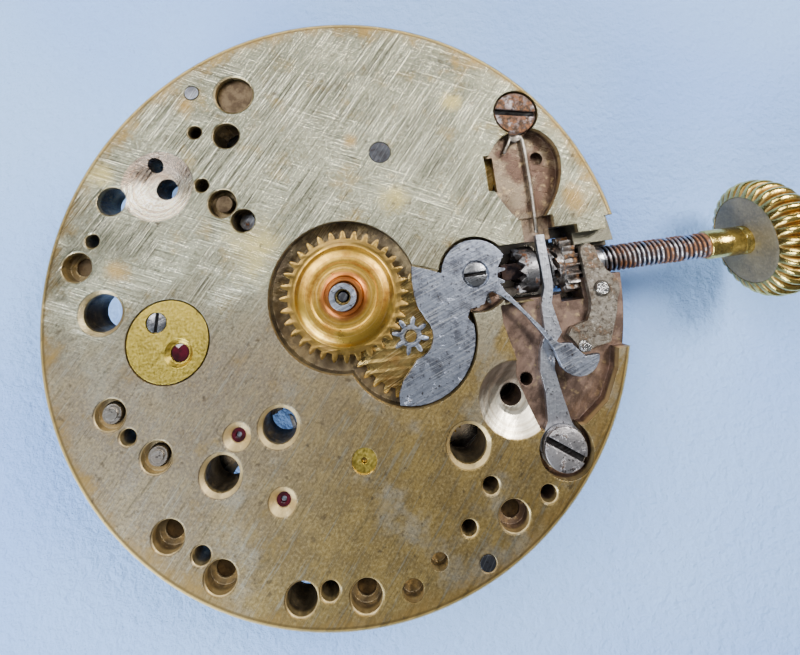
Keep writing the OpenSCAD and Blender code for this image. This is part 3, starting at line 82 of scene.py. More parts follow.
# Node materials
class Look:
    """A material made step by step from object coordinates; sizes are millimetres."""

    def __init__(self, name, metallic=1.0, roughness=0.4):
        self.material = bpy.data.materials.new(name)
        self.material.use_nodes = True
        self.nodes = self.material.node_tree.nodes
        self.links = self.material.node_tree.links
        self.shader = self.nodes["Principled BSDF"]
        self.set("Metallic", metallic)
        self.set("Roughness", roughness)
        self.here = self.node("ShaderNodeTexCoord").outputs["Object"]

    def node(self, kind, inputs=None, **settings):
        """New node; its inputs are values or the outputs of other nodes."""
        made = self.nodes.new(kind)
        for name, value in settings.items():
            setattr(made, name, value)
        for name, value in (inputs or {}).items():
            self.feed(made.inputs[name], value)
        return made

    def feed(self, socket, value):
        if isinstance(value, bpy.types.NodeSocket):
            self.links.new(value, socket)
        else:
            socket.default_value = value

    def set(self, name, value):
        self.feed(self.shader.inputs[name], value)

    def coords(self, grain=(1, 1, 1), turn=0, at=(0, 0, 0)):
        """Coordinates that count in grains: turned about Z, and stretched to the size of one grain."""
        return self.node(
            "ShaderNodeMapping",
            {"Vector": self.here, "Location": [v * MM for v in at],
             "Rotation": (0, 0, math.radians(turn)), "Scale": [v * MM for v in grain]},
            vector_type="TEXTURE",
        ).outputs["Vector"]

    def noise(self, coords, detail=3, roughness=0.6, shift=0):
        """Cloudy value from 0 to 1; another shift gives another cloud."""
        if shift:
            coords = self.node("ShaderNodeVectorMath", {0: coords, 1: (shift, shift, shift)}).outputs[0]
        inputs = {"Vector": coords, "Scale": 1, "Detail": detail, "Roughness": roughness}
        return self.node("ShaderNodeTexNoise", inputs).outputs["Fac"]

    def clouds(self, size, **settings):
        """Noise of the same size in every direction."""
        return self.noise(self.coords((size, size, size)), **settings)

    def rings(self, across, count, wobble):
        """Coordinates for turning marks: count grains to the millimetre of across, shaken by wobble."""
        return self.node("ShaderNodeCombineXYZ", {"X": self.times(across, count), "Y": wobble}).outputs[0]

    def split(self, coords):
        return self.node("ShaderNodeSeparateXYZ", {"Vector": coords}).outputs

    def fit(self, value, low, high, to_low=0, to_high=1):
        """Maps low..high smoothly to to_low..to_high; low may be the larger one."""
        return self.node(
            "ShaderNodeMapRange",
            {"Value": value, "From Min": low, "From Max": high, "To Min": to_low, "To Max": to_high},
            interpolation_type="SMOOTHSTEP",
        ).outputs["Result"]

    def calc(self, operation, a, b=0):
        return self.node("ShaderNodeMath", {0: a, 1: b}, operation=operation).outputs[0]

    def plus(self, a, b):
        return self.calc("ADD", a, b)

    def minus(self, a, b):
        return self.calc("SUBTRACT", a, b)

    def times(self, a, b):
        return self.calc("MULTIPLY", a, b)

    def mix(self, share, a, b):
        """Colour from a to b as share goes from 0 to 1."""
        made = self.node("ShaderNodeMix", data_type="RGBA")
        self.feed(made.inputs[0], share)
        self.feed(made.inputs[6], (*a, 1.0) if isinstance(a, tuple) else a)
        self.feed(made.inputs[7], (*b, 1.0) if isinstance(b, tuple) else b)
        return made.outputs[2]

    def relief(self, height, depth, edge):
        """Bump of the given depth over softly rounded edges."""
        rounded = self.node("ShaderNodeBevel", {"Radius": edge * MM}, samples=4).outputs["Normal"]
        inputs = {"Strength": 1, "Distance": depth * MM, "Height": height, "Normal": rounded}
        self.set("Normal", self.node("ShaderNodeBump", inputs).outputs["Normal"])

    def around(self, at):
        """Distance from an upright axis through at."""
        x, y, _ = self.split(self.coords(at=(*at, 0)))
        return self.length(x, y)

    def around_stem(self):
        """Distance from the stem's axis, and angle about it."""
        _, y, z = self.split(self.coords(at=(0, 0, STEM_AXIS)))
        return self.length(y, z), self.calc("ARCTAN2", z, y)

    def length(self, a, b):
        return self.calc("SQRT", self.plus(self.times(a, a), self.times(b, b)))


class PlateLook(Look):
    """Nickel silver: finely scratched and silvery above, tarnished to brown gold below."""

    def __init__(self):
        super().__init__("plate_nickel")
        self.cloud = self.clouds(5, detail=5, roughness=0.65)
        self.patch = self.clouds(1.7, detail=6, roughness=0.7, shift=3)
        self.speck = self.clouds(0.45, detail=4, shift=11)
        self.x, self.y, self.z = self.split(self.coords())
        self.upper = self.fit(self.plus(self.y, self.times(self.cloud, 9)), 1.0, 8.0)
        self.scratches = self.make_scratches()
        self.sunk = self.fit(self.z, -0.3, -0.6)
        color = self.scratched(self.tarnished())
        color = self.floored(self.rimmed(self.stained(color)))
        seat = self.around_seats()
        on_seat = self.fit(seat, FOOT_SEAT_R + 0.01, FOOT_SEAT_R - 0.05)
        on_seat = self.times(on_seat, self.fit(self.z, -0.01, -0.03))
        on_seat = self.times(on_seat, self.fit(self.z, -0.62, -0.52))
        self.set("Base Color", self.mix(on_seat, color, self.seat_color(seat)))
        worn = self.fit(self.scratches, 0.40, 0.60, 0.46, 0.26)
        worn = self.plus(worn, self.fit(self.upper, 0, 1, 0.16, 0))
        self.set("Roughness", self.minus(worn, self.times(on_seat, 0.12)))
        height = self.times(self.scratches, self.fit(self.upper, 0, 1, 0.4, 1))
        self.relief(self.plus(height, self.times(self.patch, 0.4)), 0.045, edge=0.06)

    def make_scratches(self):
        """Fine scratches that fall or rise across the upper half, and short ones below."""
        falling = self.noise(self.coords((4, 0.06, 1), turn=-24), detail=4, roughness=0.8)
        rising = self.noise(self.coords((5, 0.055, 1), turn=50), detail=4, roughness=0.8, shift=7)
        short = self.noise(self.coords((3.5, 0.3, 1), turn=50), detail=4, roughness=0.75, shift=15)
        long = self.mix(self.fit(self.cloud, 0.42, 0.60, 0.95, 0.25), falling, rising)
        return self.mix(self.fit(self.upper, 0, 1, 0.6, 0), long, short)

    def tarnished(self):
        """Silver above and brown gold below, before the scratches."""
        patchy = self.fit(self.patch, 0.38, 0.62)
        to_lower_right = self.fit(self.minus(self.x, self.y), -4, 12)
        grey = self.mix(patchy, (0.245, 0.20, 0.13), (0.19, 0.16, 0.125))
        golden = self.mix(patchy, (0.27, 0.19, 0.065), (0.18, 0.13, 0.055))
        tarnish = self.mix(to_lower_right, grey, golden)
        tarnish = self.mix(self.fit(self.cloud, 0.50, 0.62, 0, 0.7), tarnish, (0.28, 0.255, 0.20))
        silver = self.mix(patchy, (0.22, 0.22, 0.15), (0.135, 0.14, 0.10))
        silver = self.mix(self.fit(self.y, 12, 6, 0, 0.35), silver, (0.38, 0.385, 0.28))
        return self.mix(self.upper, tarnish, silver)

    def scratched(self, color):
        """Pale and dark mottle, then dull and bright scratches."""
        mottle = self.clouds(0.13, detail=3, roughness=0.7, shift=19)
        pale = self.mix(self.upper, (0.46, 0.36, 0.18), (0.60, 0.58, 0.47))
        deep = self.mix(self.upper, (0.085, 0.058, 0.025), (0.06, 0.055, 0.038))
        color = self.mix(self.fit(mottle, 0.50, 0.66, 0, 0.4), color, pale)
        color = self.mix(self.fit(mottle, 0.50, 0.34, 0, 0.45), color, deep)
        dull = self.times(self.fit(self.scratches, 0.48, 0.40), self.fit(self.upper, 0, 1, 0.45, 1))
        color = self.mix(dull, color, (0.03, 0.03, 0.02))
        bright = self.times(self.fit(self.scratches, 0.53, 0.60), self.fit(self.upper, 0, 1, 0.22, 0.8))
        return self.mix(bright, color, (0.76, 0.75, 0.62))

    def stained(self, color):
        """Yellow tinge and stains with soft outlines."""
        color = self.mix(self.fit(self.patch, 0.52, 0.72, 0, 0.5), color, (0.30, 0.20, 0.05))
        for at, reach, stain in STAINS:
            near = self.plus(self.around(at), self.times(self.patch, 2.6 * reach))
            color = self.mix(self.fit(near, 2.3 * reach, 1.3 * reach, 0, 0.65), color, stain)
        return color

    def rimmed(self, color):
        """Brown towards the rim, a dark line and a bright edge, and dark specks over all."""
        radius = self.around((0, 0))
        brown = self.fit(self.plus(radius, self.times(self.patch, 4)), PLATE_R + 0.95, PLATE_R + 2.35)
        line = self.fit(radius, PLATE_R - 0.31, PLATE_R - 0.25, 0, 0.75)
        edge = self.fit(radius, PLATE_R - 0.21, PLATE_R - 0.15, 0, 0.9)
        color = self.mix(self.times(brown, 0.85), color, (0.26, 0.165, 0.05))
        color = self.mix(line, color, (0.12, 0.08, 0.03))
        color = self.mix(edge, color, (0.46, 0.33, 0.12))
        return self.mix(self.fit(self.speck, 0.60, 0.70, 0, 0.6), color, (0.06, 0.045, 0.03))

    def floored(self, color):
        """Bright bevels round the holes, floors that are olive, brown or pinkish, and painted shade that
        darkens the holes deeper than 1.5 mm.
        """
        lip = self.times(self.fit(self.z, -0.02, -0.06), self.minus(1, self.sunk))
        color = self.mix(self.times(lip, 0.65), color, (0.82, 0.65, 0.34))
        color = self.mix(self.sunk, color, self.floor_color())
        # Painted shade: nearly black deep in the holes.
        return self.mix(self.fit(self.z, -1.5, -2.2, 0, 0.8), color, (0.03, 0.022, 0.018))

    def floor_color(self):
        patchy = self.fit(self.patch, 0.42, 0.58)
        olive = self.mix(self.fit(self.patch, 0.4, 0.6), (0.25, 0.20, 0.12), (0.12, 0.095, 0.065))
        brown = self.mix(patchy, (0.21, 0.165, 0.115), (0.095, 0.06, 0.045))
        pinkish = self.mix(patchy, (0.24, 0.165, 0.13), (0.11, 0.075, 0.06))
        to_right = self.fit(self.plus(self.x, self.times(self.cloud, 3)), 6.5, 9.5)
        floor = self.mix(to_right, olive, self.mix(self.fit(self.y, 0.5, 3.0), pinkish, brown))
        floor = self.mix(self.fit(self.speck, 0.55, 0.7, 0, 0.5), floor, (0.50, 0.38, 0.20))
        beside_stem = self.times(self.fit(self.y, 0.6, 0.9), self.fit(self.y, 3.2, 2.6))
        beside_stem = self.times(self.fit(self.x, 12.0, 12.6), beside_stem)
        return self.mix(beside_stem, floor, (0.21, 0.20, 0.15))

    def around_seats(self):
        """Distance from the nearer dial foot."""
        return self.calc("MINIMUM", self.around(FOOT_SEATS[0]), self.around(FOOT_SEATS[1]))

    def seat_color(self, seat):
        """Turned seats of the dial feet, with painted shade in brown over their upper halves."""
        turning = self.noise(self.rings(seat, 12, self.times(self.cloud, 3)), detail=4)
        # Painted shade: the upper side of each sunk seat is darkened to brown.
        above = self.minus(self.y, self.fit(self.x, -1, 1, FOOT_SEATS[0][1], FOOT_SEATS[1][1]))
        above = self.plus(above, self.times(self.minus(self.patch, 0.5), 3))
        color = self.mix(self.fit(turning, 0.35, 0.65), (0.56, 0.48, 0.36), (0.86, 0.80, 0.66))
        return self.mix(self.fit(above, -0.1, 0.9, 0, 0.85), color, (0.26, 0.18, 0.13))


def brass_look():
    """Gilt brass with a straight grain, brown patina and dark spots."""
    k = Look("brass")
    cloud = k.clouds(1.6, detail=5, roughness=0.7)
    speck = k.clouds(0.22, detail=3, shift=5)
    marks = k.noise(k.coords((3, 0.05, 1), turn=25), detail=3)
    shade = k.mix(k.fit(cloud, 0.44, 0.62), (0.42, 0.30, 0.10), (0.22, 0.13, 0.04))
    shade = k.mix(k.fit(speck, 0.58, 0.72, 0, 0.6), shade, (0.06, 0.03, 0.01))
    shade = k.mix(k.fit(marks, 0.5, 0.7, 0, 0.5), shade, (0.95, 0.76, 0.38))
    shade = k.mix(k.fit(marks, 0.48, 0.34, 0, 0.5), shade, (0.16, 0.08, 0.02))
    k.set("Base Color", shade)
    k.set("Roughness", k.fit(cloud, 0.3, 0.7, 0.22, 0.44))
    k.relief(k.plus(marks, speck), 0.012, edge=0.03)
    return k.material


def even_look(name, color, shade, light, dark, roughness=0.34, metallic=1.0):
    """Smooth worn plating with soft clouds, a fine even grain and a few dark spots."""
    k = Look(name, metallic=metallic)
    cloud = k.clouds(1.4, detail=4)
    grain = k.clouds(0.12, detail=3, shift=5)
    spots = k.clouds(0.5, detail=2, shift=9)
    tone = k.mix(k.fit(cloud, 0.35, 0.65), color, shade)
    tone = k.mix(k.fit(grain, 0.45, 0.7, 0, 0.4), tone, light)
    tone = k.mix(k.fit(grain, 0.45, 0.3, 0, 0.35), tone, dark)
    tone = k.mix(k.fit(spots, 0.68, 0.74, 0, 0.7), tone, dark)
    k.set("Base Color", tone)
    k.set("Roughness", k.fit(grain, 0.3, 0.7, roughness - 0.04, roughness + 0.08))
    k.relief(grain, 0.006, edge=0.03)
    return k.material


def hour_look():
    """Orange gilding of the hour wheel with a red ring in its hollow and darker turning marks."""
    k = Look("hour_gilding")
    cloud = k.clouds(1.5, detail=6, roughness=0.72)
    radius = k.around((0, 0))
    marks = k.noise(k.rings(radius, 9, k.times(cloud, 2)), detail=4)
    rough_radius = k.plus(radius, k.times(k.minus(cloud, 0.5), 0.9))
    shade = k.mix(k.fit(cloud, 0.42, 0.62), (0.68, 0.41, 0.065), (0.38, 0.19, 0.03))
    shade = k.mix(k.fit(marks, 0.52, 0.72, 0, 0.5), shade, (0.95, 0.74, 0.34))
    shade = k.mix(k.fit(rough_radius, 1.35, 1.1, 0, 0.8), shade, (0.36, 0.09, 0.03))
    shade = k.mix(k.fit(rough_radius, 2.35, 2.7, 0, 0.75), shade, (0.30, 0.20, 0.07))
    shade = k.mix(k.fit(cloud, 0.58, 0.68, 0, 0.7), shade, (0.18, 0.07, 0.02))
    k.set("Base Color", shade)
    k.set("Roughness", k.fit(cloud, 0.3, 0.7, 0.26, 0.46))
    k.relief(k.plus(marks, cloud), 0.02, edge=0.03)
    return k.material


def steel_look(name, color, dark, brushed, rust=0.0, turn=20, roughness=0.3,
               rust_color=(0.22, 0.075, 0.025)):
    """Steel with dark pits and a share of rust; brushed is the strength of the marks along turn."""
    k = Look(name)
    grain = k.noise(k.coords((2.5, 0.06, 0.5), turn=turn), detail=3)
    cloud = k.clouds(1.1, detail=5, roughness=0.7)
    pits = k.clouds(0.2, detail=2, shift=9)
    bloom = k.clouds(0.7, detail=6, roughness=0.75, shift=21)
    shade = k.mix(k.fit(cloud, 0.42, 0.62), color, dark)
    shade = k.mix(k.fit(grain, 0.5, 0.68, 0, 0.6 * brushed), shade, (0.78, 0.80, 0.84))
    shade = k.mix(k.fit(grain, 0.48, 0.34, 0, 0.5 * brushed), shade, (0.06, 0.06, 0.07))
    shade = k.mix(k.fit(pits, 0.60, 0.70, 0, 0.85), shade, (0.04, 0.03, 0.03))
    rusty = k.fit(bloom, 0.64 - 0.30 * rust, 0.74 - 0.30 * rust)
    shade = k.mix(rusty, shade, k.mix(k.fit(pits, 0.35, 0.60), rust_color, (0.06, 0.035, 0.02)))
    k.set("Base Color", shade)
    k.set("Metallic", k.minus(1, k.times(rusty, 0.7)))
    worn = k.fit(cloud, 0.3, 0.7, roughness, roughness + 0.16)
    k.set("Roughness", k.plus(worn, k.times(rusty, 0.35)))
    k.relief(k.plus(k.times(grain, 0.5 * brushed), k.plus(pits, rusty)), 0.015, edge=0.03)
    return k.material


def lever_look():
    """Corroded steel of the setting lever, with the polished ends of its two studs."""
    k = Look("corroded_steel")
    cloud = k.clouds(0.8, detail=6, roughness=0.75)
    pits = k.clouds(0.22, detail=4, roughness=0.7, shift=9)
    to_pivot = k.around(LEVER_PIVOT)
    shade = k.mix(k.fit(cloud, 0.40, 0.60), (0.20, 0.18, 0.15), (0.095, 0.075, 0.055))
    shade = k.mix(k.fit(cloud, 0.56, 0.64, 0, 0.7), shade, (0.16, 0.09, 0.05))
    shade = k.mix(k.fit(pits, 0.54, 0.64, 0, 0.8), shade, (0.04, 0.03, 0.025))
    shade = k.mix(k.fit(pits, 0.44, 0.36, 0, 0.5), shade, (0.42, 0.40, 0.36))
    stud = k.calc("MAXIMUM", k.fit(to_pivot, 0.34, 0.30), k.fit(k.around(DETENT_AT), 0.30, 0.26))
    groove = k.times(k.fit(to_pivot, 0.30, 0.36), k.fit(to_pivot, 0.44, 0.38))
    shade = k.mix(stud, shade, k.mix(k.fit(pits, 0.4, 0.6), (0.70, 0.70, 0.70), (0.40, 0.39, 0.38)))
    shade = k.mix(k.times(groove, 0.8), shade, (0.03, 0.025, 0.02))
    k.set("Base Color", shade)
    k.set("Metallic", k.fit(stud, 0, 1, 0.75, 1))
    k.set("Roughness", k.fit(stud, 0, 1, 0.48, 0.2))
    k.relief(k.plus(cloud, k.plus(pits, k.times(stud, 2))), 0.03, edge=0.04)
    return k.material


def bridge_screw_look():
    """Bridge screws: bright brushed heads at the back, brown ends towards the dial."""
    k = Look("bridge_screw_steel")
    grain = k.noise(k.coords((2.5, 0.06, 0.5), turn=35), detail=3)
    cloud = k.clouds(0.5, detail=5, roughness=0.7)
    head = k.mix(k.fit(grain, 0.35, 0.65), (0.24, 0.25, 0.28), (0.62, 0.64, 0.68))
    end = k.mix(k.fit(cloud, 0.4, 0.6), (0.075, 0.055, 0.034), (0.04, 0.028, 0.018))
    _, _, z = k.split(k.coords())
    near_dial = k.fit(z, -2.6, -2.2)
    k.set("Base Color", k.mix(near_dial, head, end))
    k.set("Roughness", k.fit(near_dial, 0, 1, 0.26, 0.42))
    k.relief(k.plus(k.times(grain, 0.4), cloud), 0.015, edge=0.03)
    return k.material


def stem_look():
    """Steel stem: bright worn crests, dark thread valleys and patches of rust."""
    k = Look("stem_steel")
    radius, _ = k.around_stem()
    cloud = k.clouds(0.9, detail=5, roughness=0.7)
    fleck = k.clouds(0.15, detail=4, shift=5)
    crest = k.fit(k.plus(radius, k.times(fleck, 0.08)), STEM_R - 0.06, STEM_R + 0.02)
    rust = k.fit(cloud, 0.42, 0.56)
    steel = k.mix(crest, (0.03, 0.025, 0.03), (0.55, 0.56, 0.60))
    rusty_crest = k.mix(k.fit(fleck, 0.4, 0.6), (0.34, 0.14, 0.05), (0.14, 0.06, 0.03))
    brown = k.mix(crest, (0.035, 0.015, 0.01), rusty_crest)
    k.set("Base Color", k.mix(rust, steel, brown))
    k.set("Metallic", k.fit(rust, 0, 1, 1, 0.35))
    k.set("Roughness", k.fit(rust, 0, 1, 0.28, 0.6))
    k.relief(k.plus(fleck, cloud), 0.02, edge=0.02)
    return k.material


def crown_look():
    """Worn gold crown: bright rounded ribs, orange and darker between them, with painted shade on the ribs
    next to its inner face.
    """
    k = Look("crown_gold")
    radius, angle = k.around_stem()
    rib = k.calc("ABSOLUTE", k.calc("SINE", k.times(angle, CROWN_FLUTES / 2)))
    cloud = k.clouds(0.8, detail=5, roughness=0.7)
    fleck = k.clouds(0.12, detail=3, shift=5)
    gold = k.mix(k.fit(cloud, 0.4, 0.6), (0.92, 0.68, 0.19), (0.64, 0.47, 0.13))
    dirt_and_shade = k.mix(k.fit(fleck, 0.4, 0.6), (0.34, 0.17, 0.03), (0.15, 0.09, 0.03))
    hollow = k.minus(1, k.fit(k.plus(rib, k.times(fleck, 0.4)), 0.45, 1.0))
    worn = k.minus(1, k.times(k.fit(radius, 2.3, 2.6), hollow))
    color = k.mix(worn, dirt_and_shade, k.mix(k.fit(fleck, 0.48, 0.64, 0, 0.6), gold, (0.34, 0.24, 0.06)))
    # Painted shade: the ribs next to the inner face are darkened.
    face_edge_shade = k.times(k.fit(radius, 2.3, 2.5), k.fit(radius, 3.05, 2.6))
    k.set("Base Color", k.mix(k.times(face_edge_shade, 0.6), color, (0.20, 0.14, 0.05)))
    k.set("Roughness", k.fit(worn, 0, 1, 0.5, 0.2))
    k.relief(k.plus(fleck, cloud), 0.015, edge=0.03)
    return k.material


def bridge_look():
    """Nickel bridge with broad ripple stripes and a fine frosting."""
    k = Look("bridge_nickel")
    stripe = 1.6
    _, across, _ = k.split(k.coords(turn=35))
    wave = k.calc("SINE", k.times(across, 2 * math.pi / stripe))
    frost = k.clouds(0.06, detail=2)
    cloud = k.clouds(5, detail=4)
    color = k.mix(k.fit(cloud, 0.35, 0.7), (0.66, 0.62, 0.55), (0.55, 0.48, 0.36))
    color = k.mix(k.fit(wave, -1, 1, 0, 0.35), color, (0.78, 0.75, 0.70))
    k.set("Base Color", color)
    k.set("Roughness", k.fit(wave, -1, 1, 0.24, 0.36))
    k.relief(k.plus(wave, k.times(frost, 0.6)), 0.014, edge=0.06)
    return k.material


def jewel_look():
    """Polished red jewel with faint clouds in it."""
    k = Look("ruby", metallic=0.0, roughness=0.06)
    cloud = k.clouds(0.5, detail=3)
    k.set("Base Color", k.mix(k.fit(cloud, 0.3, 0.7), (0.018, 0.0, 0.002), (0.07, 0.001, 0.010)))
    k.set("Transmission Weight", 0.2)
    k.set("IOR", 1.76)
    k.set("Coat Weight", 0.6)
    k.relief(cloud, 0.002, edge=0.02)
    return k.material


def paper_look():
    """Pale bluish paper with a fine tooth."""
    k = Look("paper", metallic=0.0, roughness=0.9)
    tooth = k.clouds(0.6, detail=5, roughness=0.65)
    cloud = k.clouds(30, detail=2)
    k.set("Base Color", k.mix(k.fit(cloud, 0.3, 0.7), (0.26, 0.47, 1.0), (0.35, 0.58, 1.0)))
    bump = k.node("ShaderNodeBump", {"Strength": 1.0, "Distance": 0.3 * MM, "Height": tooth})
    k.set("Normal", bump.outputs["Normal"])
    return k.material


def make_shared_looks():
    """Materials that several pieces share, by name."""
    return {
        "brass": brass_look(),
        "gilt": even_look("endpiece_gilding", (0.64, 0.48, 0.08), (0.52, 0.39, 0.07),
                          light=(0.86, 0.68, 0.22), dark=(0.20, 0.13, 0.03)),
        "steel": steel_look("steel", (0.45, 0.50, 0.62), (0.11, 0.12, 0.15), brushed=0.8,
                            rust=0.12, rust_color=(0.12, 0.085, 0.06)),
        "light steel": steel_look("light_steel", (0.56, 0.59, 0.66), (0.30, 0.31, 0.35), brushed=0.35,
                                  rust=0.08, turn=80, rust_color=(0.16, 0.11, 0.08)),
        "polished steel": steel_look("polished_steel", (0.30, 0.31, 0.33), (0.12, 0.12, 0.13), brushed=0.5,
                                     rust=0.1, roughness=0.24, rust_color=(0.14, 0.10, 0.08)),
        "stud steel": steel_look("stud_steel", (0.34, 0.31, 0.27), (0.20, 0.17, 0.14), brushed=0.2,
                                 rust=0.2, rust_color=(0.16, 0.12, 0.08)),
        "pin steel": steel_look("pin_steel", (0.085, 0.09, 0.105), (0.04, 0.04, 0.045), brushed=0.25,
                                turn=55),
        "ruby": jewel_look(),
    }


# Meshes
def polar(r, degrees, at=(0, 0)):
    a = math.radians(degrees)
    return (at[0] + r * math.cos(a), at[1] + r * math.sin(a))


def circle(r, at=(0, 0), steps=64):
    return [polar(r, 360 * i / steps, at) for i in range(steps)]


class Shape:
    """Collects turned, cut and drawn parts in millimetres and makes one piece of them."""

    def __init__(self):
        self.mesh = bmesh.new()

    def grid(self, rows, place=Matrix()):
        """Skin over closed rows of points."""
        made = [[self.mesh.verts.new(place @ Vector(p)) for p in row] for row in rows]
        count = len(rows[0])
        for a, b in zip(made, made[1:]):
            for i in range(count):
                j = (i + 1) % count
                self.mesh.faces.new((a[i], a[j], b[j], b[i]))
        return made

    def turned(self, profile, place=Matrix(), steps=72, radius=None):
        """Body of revolution about Z from (radius, height) points; radius may reshape it by angle."""
        rows = []
        for r, z in profile:
            row = []
            for i in range(steps):
                a = 2 * math.pi * i / steps
                size = radius(r, z, a) if radius else r
                row.append((size * math.cos(a), size * math.sin(a), z))
            rows.append(row)
        made = self.grid(rows, place)
        if profile[0] != profile[-1]:
            self.mesh.faces.new(made[0])
            self.mesh.faces.new(made[-1])

    def cut(self, outlines, low, high, place=Matrix(), bevel=0.02):
        """Flat sheet between two heights, from closed outlines with holes, with bevelled edges."""
        curve = bpy.data.curves.new("cut", "CURVE")
        curve.dimensions = "2D"
        curve.fill_mode = "BOTH"
        curve.extrude = (high - low) / 2 - bevel
        curve.bevel_depth = bevel
        curve.bevel_resolution = 1
        curve.offset = -bevel
        for outline in outlines:
            spline = curve.splines.new("POLY")
            spline.points.add(len(outline) - 1)
            spline.use_cyclic_u = True
            for point, (x, y) in zip(spline.points, outline):
                point.co = (x, y, 0, 1)
        holder = bpy.data.objects.new("cut", curve)
        sheet = bpy.data.meshes.new_from_object(holder)
        sheet.transform(place @ Matrix.Translation((0, 0, (low + high) / 2)))
        self.mesh.from_mesh(sheet)
        bpy.data.objects.remove(holder)
        bpy.data.curves.remove(curve)
        bpy.data.meshes.remove(sheet)

    def wire(self, points, radius, sides=16):
        """Round wire along points, rounded at both ends."""
        points = [Vector(p) for p in points]
        last = len(points) - 1
        rows = []
        for i, p in enumerate(points):
            way = (points[min(i + 1, last)] - points[max(i - 1, 0)]).normalized()
            turn = way.to_track_quat("Z", "Y")
            caps = [(1.0, 0)]
            if i == 0:
                caps = [(0.01, -0.9), (0.6, -0.7), (1.0, 0)]
            elif i == last:
                caps = [(1.0, 0), (0.6, 0.7), (0.01, 0.9)]
            for share, ahead in caps:
                ring = circle(radius * share, steps=sides)
                rows.append([p + turn @ Vector((x, y, radius * ahead)) for x, y in ring])
        self.grid(rows)

    def piece(self, name, body, material, instead=(), sharp=40):
        """Turns what was collected into an object that rides on a body."""
        bmesh.ops.remove_doubles(self.mesh, verts=self.mesh.verts, dist=1e-5)
        bmesh.ops.recalc_face_normals(self.mesh, faces=self.mesh.faces)
        bmesh.ops.scale(self.mesh, vec=(MM, MM, MM), verts=self.mesh.verts)
        data = bpy.data.meshes.new(name)
        self.mesh.to_mesh(data)
        self.mesh.free()
        data.materials.append(material)
        data.shade_smooth()
        data.set_sharp_from_angle(angle=math.radians(sharp))
        made = bpy.data.objects.new(name, data)
        bpy.context.scene.collection.objects.link(made)
        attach(made, body)
        if instead:
            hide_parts(*instead)


# Module of the motion work, and how far its teeth stand above and below the pitch line
MOTION_MODULE = 0.195
TOOTH_ABOVE, TOOTH_BELOW = 0.175, 0.234
# Half a tooth from its root to its tip: share of the tooth's width, share of its height
TOOTH_SIDE = ((0.5, 0.0), (0.44, 0.3), (0.34, 0.6), (0.2, 0.85), (0.07, 0.98))


def teeth(count, root, tip, at=(0, 0), turn=0.0, width=0.56):
    """Outline of a toothed wheel, one tooth centred on turn; width is a tooth's share of the pitch."""
    pitch = 360 / count
    side = [(-across, up) for across, up in TOOTH_SIDE] + list(reversed(TOOTH_SIDE))
    outline = []
    for i in range(count):
        for across, up in side:
            outline.append(polar(root + (tip - root) * up, turn + (i + across * width) * pitch, at))
    return outline


def motion_teeth(count, turn, at=(0, 0), width=0.56):
    """Outline of a wheel of the motion work."""
    pitch_r = count * MOTION_MODULE / 2
    return teeth(count, pitch_r - TOOTH_BELOW, pitch_r + TOOTH_ABOVE, at, turn, width)


def along_stem(x):
    """Places a shape built along +Z so that it starts at x and lies along the stem."""
    return Matrix.Translation((x, 0, STEM_AXIS)) @ Matrix.Rotation(math.radians(90), 4, "Y")


def add_face_teeth(shape, count, radii, place, base, tip, share, lean=0.0, turn=0.0):
    """Ring of pointed teeth on a face: each rises from base to tip, its point moved sideways by lean.

    Share is a tooth's part of the pitch.
    """
    pitch = 360 / count
    point_share = 0.99
    for i in range(count):
        a = turn + i * pitch
        rows = []
        for r in radii:
            foot = [(*polar(r, a + side * share * pitch / 2), base) for side in (-1, 1)]
            point = (*polar(r * point_share, a + lean * share * pitch / 2), tip)
            rows.append([foot[0], foot[1], point])
        for row in shape.grid(rows, place):
            shape.mesh.faces.new(row)


def make_screw(name, metal, dirt_and_shade, r, top, thickness, angle, shank, end, bevel=0.03):
    """Screw with a flat bevelled head; the floor of its slot is a dark piece of its own that paints the
    shade in the slot.
    """
    at = centre_of(name)
    place = Matrix.Translation((*at, 0))
    slot_share, arc_steps = 0.14, 24
    edge = math.degrees(math.asin(slot_share))
    middle = top - thickness / 2
    head = Shape()
    for side in (0, 180):
        start = angle + side + edge
        step = (180 - 2 * edge) / arc_steps
        half_disc = [polar(r, start + step * i, at) for i in range(arc_steps + 1)]
        head.cut([half_disc], middle, top, bevel=bevel)
    head.turned([(r, top - thickness), (r, middle)], place, 48)
    head.turned([(shank, end), (shank, top - thickness)], place, 32)
    head.piece(name + "_dressed", "movement", metal, instead=[name])
    # The dark floor piece is painted shade in the slot.
    floor_r, floor_low, floor_high = r - 0.03, top - thickness + 0.02, middle + 0.01
    floor = Shape()
    floor.cut([circle(floor_r, at)], floor_low, floor_high, bevel=0.005)
    floor.piece(name + "_slot", "movement", dirt_and_shade)


# Pieces of the motion work
def make_hour_wheel(look):
    """Toothed disc with a hollow dome that rises to the tube."""
    s = Shape()
    low, high = -0.75, -0.48
    bore, dome_r = 0.53, 2.62
    s.cut([motion_teeth(32, MINUTE_DIR), circle(dome_r - 0.12)], low, high, bevel=0.03)
    outer = [(dome_r, -0.49), (2.53, -0.47), (2.47, -0.41), (2.37, -0.31), (2.2, -0.21), (2.0, -0.15)]
    crest = [(1.82, -0.13), (1.71, -0.135), (1.66, -0.19)]
    hollow = [(1.58, -0.205), (1.4, -0.19), (1.2, -0.18), (1.05, -0.165), (0.99, -0.12)]
    tube = [(0.95, 0.1), (0.92, 0.15), (0.76, 0.15), (0.7, 0.08), (bore, 0.05)]
    back = [(bore, low), (2.6, low), (dome_r, -0.49)]
    s.turned(outer + crest + hollow + tube + back, steps=96)
    s.piece("hour_wheel_dressed", "hour_wheel", look, instead=["hour_wheel"])


